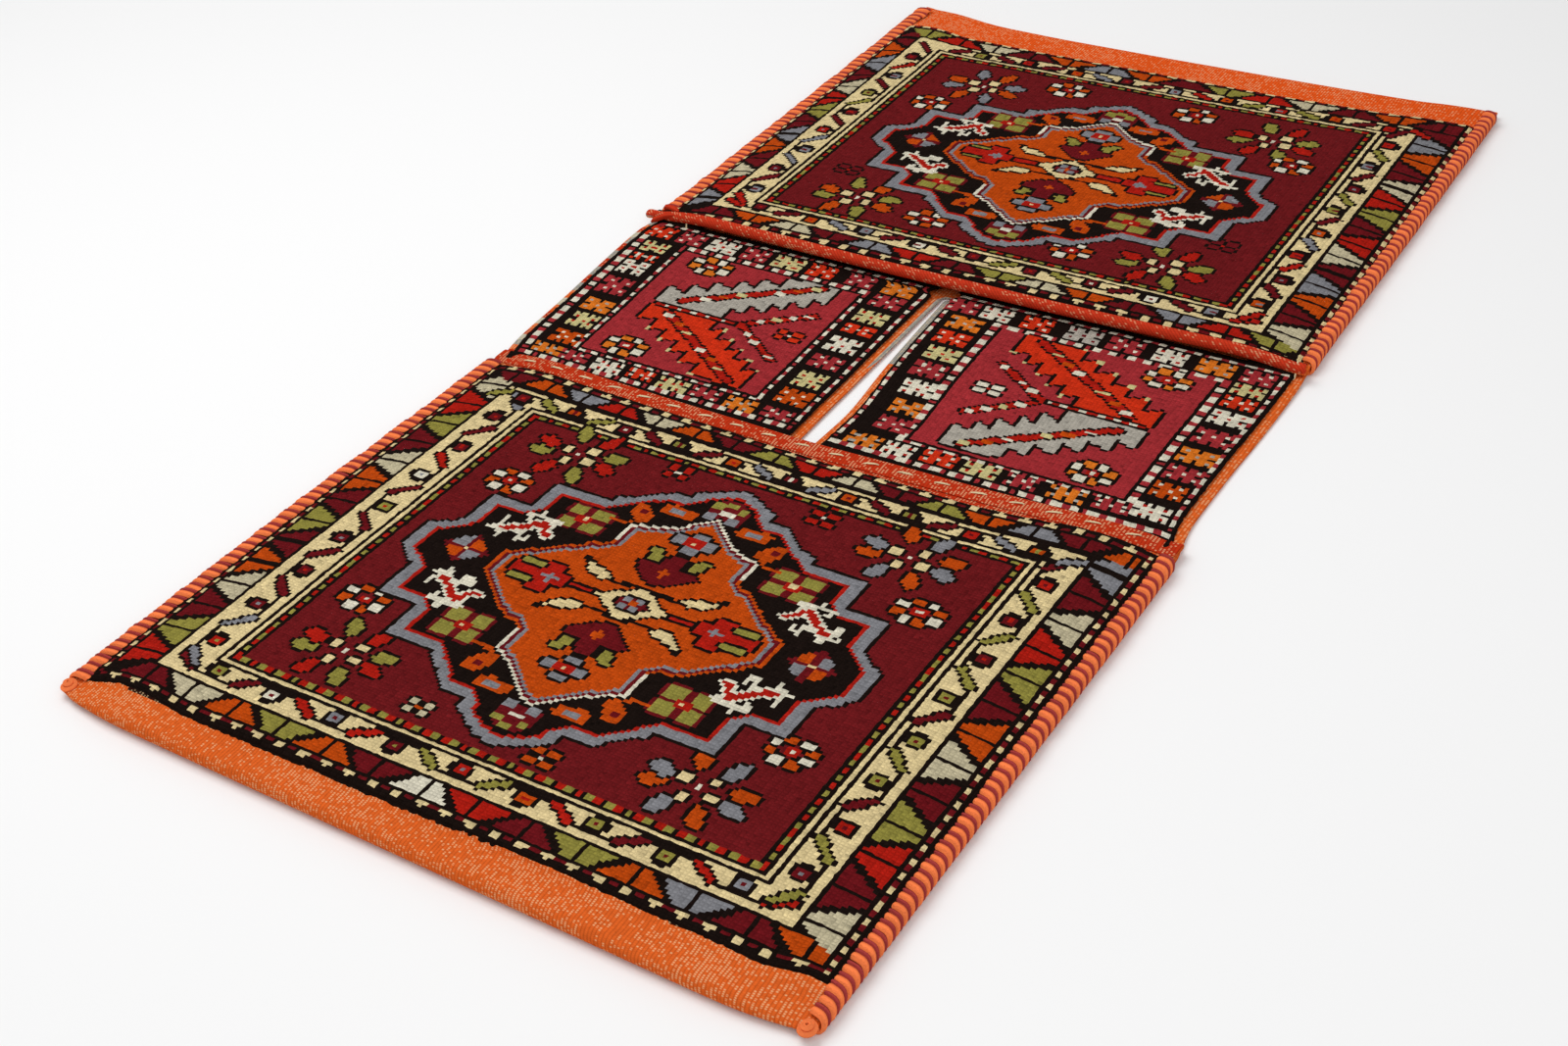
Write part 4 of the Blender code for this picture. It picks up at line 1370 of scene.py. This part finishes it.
    def build_ground(self) -> bpy.types.Object:
        """Make the woven ground: the folded cloth with its flat bands, hem, roll and back."""
        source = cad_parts["woven_cloth"].data
        shape = bmesh.new()
        shape.from_mesh(source)
        bmesh.ops.remove_doubles(shape, verts=shape.verts, dist=2e-6)
        bmesh.ops.join_triangles(
            shape, faces=shape.faces, angle_face_threshold=0.7, angle_shape_threshold=0.7
        )
        mesh = bpy.data.meshes.new("woven_ground")
        shape.to_mesh(mesh)
        shape.free()
        ground = link("woven_ground", mesh)
        modifier = ground.modifiers.new("finer", "SUBSURF")
        modifier.levels = modifier.render_levels = 2
        graph = bpy.context.evaluated_depsgraph_get()
        fine = bpy.data.meshes.new_from_object(ground.evaluated_get(graph))
        ground.modifiers.clear()
        ground.data = fine
        self.drape(fine)
        fine.shade_smooth()
        fine.materials.clear()
        fine.materials.append(self.finishes.flat)
        fine.materials.append(self.finishes.rolled)
        self.dress_ground(fine)
        self.guide = ClothGuide(ground)
        log.info("woven_ground: %d faces", len(fine.polygons))
        return ground

    def drape(self, mesh: bpy.types.Mesh) -> None:
        """Ease the ground's far corners outwards and let its front swell softly."""
        for vertex in mesh.vertices:
            x, y, z = vertex.co
            corner = self.corner_flare[0] * smooth((-x - 0.180) / 0.100)
            corner += self.corner_flare[1] * smooth((x - 0.204) / 0.065)
            vertex.co.y += corner * smooth((y - 0.425) / 0.09)
            lift = noise.noise(Vector((x, y, 0.0)) * self.swell_scale)
            vertex.co.z += self.swell * lift * smooth((z - 0.0085) / 0.005)

    def ground_wool(self, u: float, v: float, z: float, facing: float) -> tuple[GroundWool, bool]:
        """Choose the wool of a place on the ground.

        Args:
            u: Its place across, in the charts' millimetres.
            v: Its place along.
            z: Its height in metres.
            facing: How far it faces up, from -1 to 1.

        Returns:
            The wool, and whether it belongs to the rolled hem.
        """
        def lies(place: float, span: Point) -> bool:
            """Tell whether a place is between a span's ends."""
            return span[0] < place < span[1]

        if z > self.FRONT_START and lies(v, self.ROLL_SPAN):
            return GroundWool.ROLL, True
        if z > self.FRONT_START and lies(v, self.HEM_SPAN):
            return GroundWool.HEM, False
        under_pile = lies(v, self.PILE_ENDS) and not self.HEM_SPAN[0] < v < self.ROLL_SPAN[1]
        if z > self.FRONT_TOP and under_pile:
            return GroundWool.DARK, False
        at_edge = lies(z, (self.BACK_TOP, self.FRONT_START)) and facing > -0.3
        if lies(v, self.BRIDGE_SPAN) and at_edge:
            if lies(u, self.SLIT_SPAN):
                return (GroundWool.GREY_EDGE if v > self.GREY_SLIT_START else GroundWool.ORANGE), False
            if u < self.LEFT_SELVEDGE:
                mixed = (GroundWool.ORANGE, GroundWool.GREY_EDGE, GroundWool.PALE_EDGE, GroundWool.HEM)
                return mixed[int(v // self.EDGE_PATCH) % len(mixed)], False
        return (GroundWool.FAR_BAND if v > self.FAR_BAND_START else GroundWool.ORANGE), False

    def dress_ground(self, mesh: bpy.types.Mesh) -> None:
        """Give the ground its colours and its two weaves, by where each face lies."""
        colours = np.zeros((len(mesh.loops), 4), np.float32)
        for face in mesh.polygons:
            u = (face.center.x - CHART_ORIGIN[0]) / MILLIMETRE
            v = (face.center.y - CHART_ORIGIN[1]) / MILLIMETRE
            wool, is_roll = self.ground_wool(u, v, face.center.z, face.normal.z)
            face.material_index = 1 if is_roll else 0
            colours[face.loop_indices.start : face.loop_indices.stop] = linear_colour(wool.value)
        layer = mesh.color_attributes.new(Finishes.WEAVE_COLOUR, "FLOAT_COLOR", "CORNER")
        layer.data.foreach_set("color", colours.ravel())


@dataclass
class Seam:
    """An overcast seam: thick orange wraps of yarn, with a thin maroon one between each two."""

    name: str
    node: str
    side: int
    width: float
    fold_gap: float
    finishes: Finishes
    height: float = 0.0119
    pitch: float = 0.0082
    thickness: float = 0.0026
    slant: float = 0.0030
    turns: int = 14
    thick_yarn: float = 0.0056
    thin_yarn: float = 0.0030
    knob_reach: float = 0.0066

    WRAP_ANGLES = (150.0, -118.0)
    SQUARENESS = 0.75

    def wrap(self, name: str, width: float, material: bpy.types.Material) -> bpy.types.Object:
        """Make one wrap of yarn, whose outer side lies at x 0.

        Args:
            name: The wrap's name.
            width: The yarn's width along the seam.
            material: Its wool.

        Returns:
            The wrap, kept out of the scene.
        """
        half = self.thickness / 2
        reach_x, reach_z = self.width / 2 - half, self.height / 2 - half
        rings = []
        for turn in range(self.turns + 1):
            angle = math.radians(mix(*self.WRAP_ANGLES, turn / self.turns))
            out, up = (
                math.copysign(abs(part) ** self.SQUARENESS, part)
                for part in (math.cos(angle), math.sin(angle))
            )
            lean = self.slant * (0.5 - turn / self.turns) * 2
            ring = []
            for step in range(AROUND):
                round_yarn = WHOLE_TURN * step / AROUND
                bulge = half * math.cos(round_yarn)
                x = -self.width / 2 + out * (reach_x + bulge)
                z = self.height / 2 + up * (reach_z + bulge)
                ring.append((self.side * x, lean + width / 2 * math.sin(round_yarn), z))
            rings.append(ring)
        return bpy.data.objects.new(name, skin(name, rings, material, mirrored=self.side < 0))

    def path(self, start: float, end: float, steps: int = 60) -> bpy.types.Mesh:
        """Give the line of the seam's outer side, as a mesh of edges.

        Args:
            start: The y where it begins.
            end: The y where it ends.
            steps: How many edges it has.

        Returns:
            The line.
        """
        corners = np.array([v.co[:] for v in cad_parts[self.node].data.vertices])
        points = []
        for step in range(steps + 1):
            y = mix(start, end, step / steps)
            near = corners[np.abs(corners[:, 1] - y) < self.pitch]
            points.append((self.side * (self.side * near[:, 0]).max(), y, 0.0))
        return line_mesh(self.name + "_line", points)

    def build(self) -> bpy.types.Object:
        """Make the seam's wraps along its line."""
        low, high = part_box(self.node)
        low_gap, high_gap = (self.fold_gap, 0.0) if low.y < 0 else (0.0, self.fold_gap)
        parts = []
        yarns = (
            ("thick", self.thick_yarn, self.finishes.orange_yarn, 0.0),
            ("thin", self.thin_yarn, self.finishes.maroon_yarn, 0.5),
        )
        for label, width, material, offset in yarns:
            wrap = self.wrap(f"{self.name}_{label}_wrap", width, material)
            start = low.y + (0.5 + offset) * self.pitch + low_gap
            end = high.y - self.pitch * (0.9 - offset) - high_gap
            line = self.path(start, end)
            parts.append(repeat_along(f"{self.name}_{label}", line, wrap, self.pitch, material))
        if low.y < 0:
            parts.append(self.knob(low.y + low_gap - self.thin_yarn))
        return join(self.name, parts)

    def knob(self, y: float) -> bpy.types.Object:
        """Make the coil of yarn that finishes the seam at the fold.

        Args:
            y: Where its middle lies along the seam.

        Returns:
            The coil.
        """
        outer = self.path(y, y + MILLIMETRE, 1).vertices[0].co.x
        centre = outer - self.side * self.knob_reach
        steps, coils, first_turn = 44, 2.4, 0.8
        points = []
        for step in range(steps + 1):
            share = step / steps
            angle = WHOLE_TURN * coils * share + first_turn
            radius = mix(0.0056, 0.0006, share)
            height = mix(0.0032, 0.0108, math.sqrt(share))
            points.append((centre + radius * math.cos(angle), y + radius * math.sin(angle), height))
        name = self.name + "_knob"
        return link(name, tube(name, points, 0.0017, self.finishes.orange_yarn))


SEAMS = (
    ("near_left_seam", -1, 0.0160, 0.0148),
    ("near_right_seam", 1, 0.0125, 0.0098),
    ("far_left_seam", -1, 0.0160, 0.0030),
    ("far_right_seam", 1, 0.0125, 0.0030),
)


def finer(points: Sequence[Point3], steps: int) -> list[Vector]:
    """Round a broken line by blending its spans with a smooth curve.

    Args:
        points: The line's points.
        steps: How many points replace each span.

    Returns:
        The rounded line.
    """
    line = [Vector(point) for point in points]
    line = [2 * line[0] - line[1], *line, 2 * line[-1] - line[-2]]
    rounded = []
    for before, start, end, after in zip(line, line[1:], line[2:], line[3:]):
        for step in range(steps):
            t = step / steps
            rounded.append(
                0.5 * (2 * start + (end - before) * t + (2 * before - 5 * start + 4 * end - after) * t**2
                       + (3 * start - before - 3 * end + after) * t**3)
            )
    return [*rounded, line[-2]]


def line_mesh(name: str, points: Sequence[Point3]) -> bpy.types.Mesh:
    """Make a mesh of edges along a line of points."""
    mesh = bpy.data.meshes.new(name)
    mesh.from_pydata(points, [(i, i + 1) for i in range(len(points) - 1)], [])
    return mesh


def skin(
    name: str,
    rings: Sequence[Sequence[Point3]],
    material: bpy.types.Material,
    mirrored: bool = False,
    capped: bool = False,
) -> bpy.types.Mesh:
    """Skin a row of rings into a yarn, with a UV layer that runs along and round it.

    Args:
        name: The mesh's name.
        rings: The rings of points, one after the other.
        material: The yarn's wool.
        mirrored: True where the rings run the other way round.
        capped: True to close both ends.

    Returns:
        The mesh.
    """
    faces, uvs = [], []
    for index in range(len(rings) - 1):
        for step in range(AROUND):
            corners = [(index, step), (index + 1, step), (index + 1, step + 1), (index, step + 1)]
            corners = corners[:: -1 if mirrored else 1]
            faces.append([row * AROUND + column % AROUND for row, column in corners])
            uvs += [(row / 4, column * 3 / AROUND) for row, column in corners]
    if capped:
        last = (len(rings) - 1) * AROUND
        faces += [list(range(AROUND)), list(range(last + AROUND - 1, last - 1, -1))]
        uvs += [(0.0, step / AROUND) for step in range(AROUND)] * 2
    mesh = bpy.data.meshes.new(name)
    mesh.from_pydata([point for ring in rings for point in ring], [], faces)
    mesh.shade_smooth()
    layer = mesh.uv_layers.new(name=Finishes.YARN_UV)
    layer.data.foreach_set("uv", np.array(uvs, np.float32).ravel())
    mesh.materials.append(material)
    return mesh


def tube(
    name: str, points: Sequence[Point3], radius: float, material: bpy.types.Material
) -> bpy.types.Mesh:
    """Sweep a round yarn along a line of points, narrower at its two ends.

    Args:
        name: The mesh's name.
        points: The line's points.
        radius: The yarn's radius.
        material: Its wool.

    Returns:
        The mesh.
    """
    line = [Vector(point) for point in points]
    last = len(line) - 1
    rings = []
    for index, middle in enumerate(line):
        way = (line[min(index + 1, last)] - line[max(index - 1, 0)]).normalized()
        side = way.cross(Vector((0, 0, 1))).normalized()
        up = side.cross(way)
        thick = radius * min(1.0, 0.35 + 3.0 * min(index, last - index) / last)
        turns = [WHOLE_TURN * step / AROUND for step in range(AROUND)]
        rings.append([middle + thick * (math.cos(turn) * side + math.sin(turn) * up) for turn in turns])
    return skin(name, rings, material, capped=True)


def bent_yarn(
    name: str, length: float, width: float, height: float, material: bpy.types.Material, lean: float
) -> bpy.types.Object:
    """Make one stitch: a short yarn that comes out of the cloth and goes back into it.

    Args:
        name: The stitch's name.
        length: How far it runs along Y.
        width: The yarn's width.
        height: How far its middle stands over the cloth.
        material: Its wool.
        lean: How far it is turned, in radians.

    Returns:
        The stitch, kept out of the scene.
    """
    spans, sunk, flatness = 10, 0.0004, 0.6
    rings = []
    for span in range(spans + 1):
        share = span / spans
        along = (share - 0.5) * length
        middle = height * (1.0 - (2 * share - 1) ** 4) - sunk
        thick = width / 2 * (0.55 + 0.45 * math.sin(math.pi * share))
        ring = []
        for step in range(AROUND):
            turn = WHOLE_TURN * step / AROUND
            x = thick * math.cos(turn) + along * math.sin(lean)
            ring.append((x, along * math.cos(lean), middle + thick * flatness * math.sin(turn)))
        rings.append(ring)
    return bpy.data.objects.new(name, skin(name, rings, material))


def along_line_tree() -> bpy.types.NodeTree:
    """Build the tree that repeats a piece along a line, turned with it and slightly uneven.

    Returns:
        The geometry tree.
    """
    tree = bpy.data.node_groups.new("repeat_along_line", "GeometryNodeTree")
    sketch = NodeSketch(tree)
    for name, kind in (("Geometry", "Geometry"), ("Piece", "Object"), ("Material", "Material")):
        sketch.declare([name], True, kind)
    sketch.declare(["Pitch", "Unevenness"], True)
    sketch.declare(["Geometry"], False, "Geometry")
    given = sketch.add("NodeGroupInput").outputs
    curve = sketch.add("GeometryNodeMeshToCurve", {0: given["Geometry"]}).outputs[0]
    even = sketch.add("GeometryNodeResampleCurve", {"Curve": curve}, mode="LENGTH")
    sketch.tree.links.new(given["Pitch"], even.inputs["Length"])
    tangent = sketch.add("GeometryNodeInputTangent").outputs[0]
    turn = sketch.add("FunctionNodeAlignRotationToVector", {"Vector": tangent}, axis="Y")
    spread = sketch.add("FunctionNodeRandomValue", data_type="FLOAT_VECTOR")
    less = sketch.maths("MULTIPLY", given["Unevenness"], -1.0)
    for place, value in ((0, less), (1, given["Unevenness"])):
        sketch.tree.links.new(sketch.uniform(value), spread.inputs[place])
    spread.inputs["Seed"].default_value = SEED
    rotation = sketch.add("FunctionNodeEulerToRotation", {0: spread.outputs[0]}).outputs[0]
    whole = sketch.add("FunctionNodeRotateRotation", {0: turn.outputs[0], 1: rotation}).outputs[0]
    size = sketch.add("FunctionNodeRandomValue", data_type="FLOAT")
    size.inputs[2].default_value, size.inputs[3].default_value = SIZE_SPREAD
    size.inputs["Seed"].default_value = SEED + 1
    piece = sketch.add("GeometryNodeObjectInfo", {"Object": given["Piece"]}).outputs["Geometry"]
    copies = sketch.add(
        "GeometryNodeInstanceOnPoints",
        {"Points": even.outputs[0], "Instance": piece, "Rotation": whole, "Scale": size.outputs[1]},
    )
    real = sketch.add("GeometryNodeRealizeInstances", {0: copies.outputs[0]}).outputs[0]
    dressed = sketch.add("GeometryNodeSetMaterial", {0: real, "Material": given["Material"]})
    sketch.add("NodeGroupOutput", {0: dressed.outputs[0]})
    return tree


def repeat_along(
    name: str,
    line: bpy.types.Mesh,
    piece: bpy.types.Object,
    pitch: float,
    material: bpy.types.Material,
    unevenness: float = 0.06,
) -> bpy.types.Object:
    """Repeat a piece along a line with Geometry Nodes and give the plain mesh.

    Args:
        name: The result's name.
        line: A mesh of edges.
        piece: What to repeat, built round the origin with the line along Y.
        pitch: The distance between two of them.
        material: Their material.
        unevenness: The most that one is turned off the line, in radians.

    Returns:
        The copies as one plain object.
    """
    tree = bpy.data.node_groups.get("repeat_along_line") or along_line_tree()
    holder = link(name, line)
    modifier = holder.modifiers.new("copies", "NODES")
    modifier.node_group = tree
    values = {"Piece": piece, "Pitch": pitch, "Unevenness": unevenness, "Material": material}
    for item in tree.interface.items_tree:
        if item.in_out == "INPUT" and item.name in values:
            modifier[item.identifier] = values[item.name]
    bpy.context.view_layer.update()
    graph = bpy.context.evaluated_depsgraph_get()
    mesh = bpy.data.meshes.new_from_object(holder.evaluated_get(graph))
    holder.modifiers.clear()
    holder.data = mesh
    bpy.data.objects.remove(piece)
    return holder


def join(name: str, parts: list[bpy.types.Object]) -> bpy.types.Object:
    """Join plain meshes into one object.

    Args:
        name: The joined object's name.
        parts: The objects, which are used up.

    Returns:
        The joined object.
    """
    with bpy.context.temp_override(active_object=parts[0], selected_editable_objects=parts):
        bpy.ops.object.join()
    parts[0].name = parts[0].data.name = name
    return parts[0]


@dataclass(frozen=True)
class Studio:
    """A pale floor, soft light and a camera where the photographer stood."""

    camera_place: Point3 = (0.7404, -1.1659, 0.8804)
    camera_turn: Point3 = (53.736, 4.616, 32.369)
    lens: float = 51.30
    sensor: float = 36.0
    floor_size: float = 8.0
    floor_grey: float = 0.86
    sky: float = 0.55
    lamps: tuple[tuple[str, Point3, float, float], ...] = (
        ("key", (-0.8, -0.1, 2.0), 1.6, 26.0),
        ("fill", (1.4, -1.2, 1.6), 1.8, 12.0),
    )

    def build(self) -> None:
        """Make the camera, the floor and the lights."""
        data = bpy.data.cameras.new("camera")
        data.lens = self.lens
        data.sensor_width = self.sensor
        camera = bpy.data.objects.new("camera", data)
        camera.location = self.camera_place
        camera.rotation_euler = Euler([math.radians(a) for a in self.camera_turn])
        bpy.context.scene.collection.objects.link(camera)
        bpy.context.scene.camera = camera
        self.build_floor()
        for lamp in self.lamps:
            self.add_lamp(*lamp)
        world = bpy.data.worlds.new("studio")
        world.use_nodes = True
        background = world.node_tree.nodes["Background"]
        background.inputs["Color"].default_value = (1.0, 1.0, 1.0, 1.0)
        background.inputs["Strength"].default_value = self.sky
        bpy.context.scene.world = world
        bpy.context.scene.view_settings.view_transform = "Standard"

    def build_floor(self) -> None:
        """Make the floor, which shows as white paper under its shadows."""
        half = self.floor_size / 2
        mesh = bpy.data.meshes.new("floor")
        corners = [(-half, -half, 0), (half, -half, 0), (half, half, 0), (-half, half, 0)]
        mesh.from_pydata(corners, [], [(0, 1, 2, 3)])
        material = bpy.data.materials.new("floor_paper")
        material.use_nodes = True
        shader = material.node_tree.nodes["Principled BSDF"]
        shader.inputs["Base Color"].default_value = (*[self.floor_grey] * 3, 1.0)
        shader.inputs["Roughness"].default_value = 0.9
        mesh.materials.append(material)
        link("floor", mesh)

    def add_lamp(self, name: str, place: Point3, size: float, power: float) -> None:
        """Add a soft square lamp that points at the bag.

        Args:
            name: The lamp's name.
            place: Where it hangs.
            size: Its width.
            power: Its power in watts.
        """
        data = bpy.data.lights.new(name, "AREA")
        data.size = size
        data.energy = power
        lamp = bpy.data.objects.new(name, data)
        lamp.location = place
        lamp.rotation_euler = (-Vector(place)).to_track_quat("-Z", "Y").to_euler()
        bpy.context.scene.collection.objects.link(lamp)


def main() -> None:
    """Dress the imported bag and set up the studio."""
    logging.basicConfig(level=logging.INFO, format="%(name)s: %(message)s")
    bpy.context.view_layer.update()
    Studio().build()
    finishes = Finishes()
    bag = Saddlebag(finishes)
    ground = bag.build_ground()
    panels = bag.build_panels()
    stitches = bag.build_hem_stitches()
    roll_ends = bag.build_roll_ends()
    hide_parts("woven_cloth")
    seams = []
    for node, side, width, fold_gap in SEAMS:
        seam = Seam(node + "_wraps", node, side, width, fold_gap, finishes).build()
        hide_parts(node)
        seams.append(seam)
    for piece in (ground, *panels, *seams, stitches, roll_ends):
        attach(piece, "root")


if __name__ == "__main__":
    main()
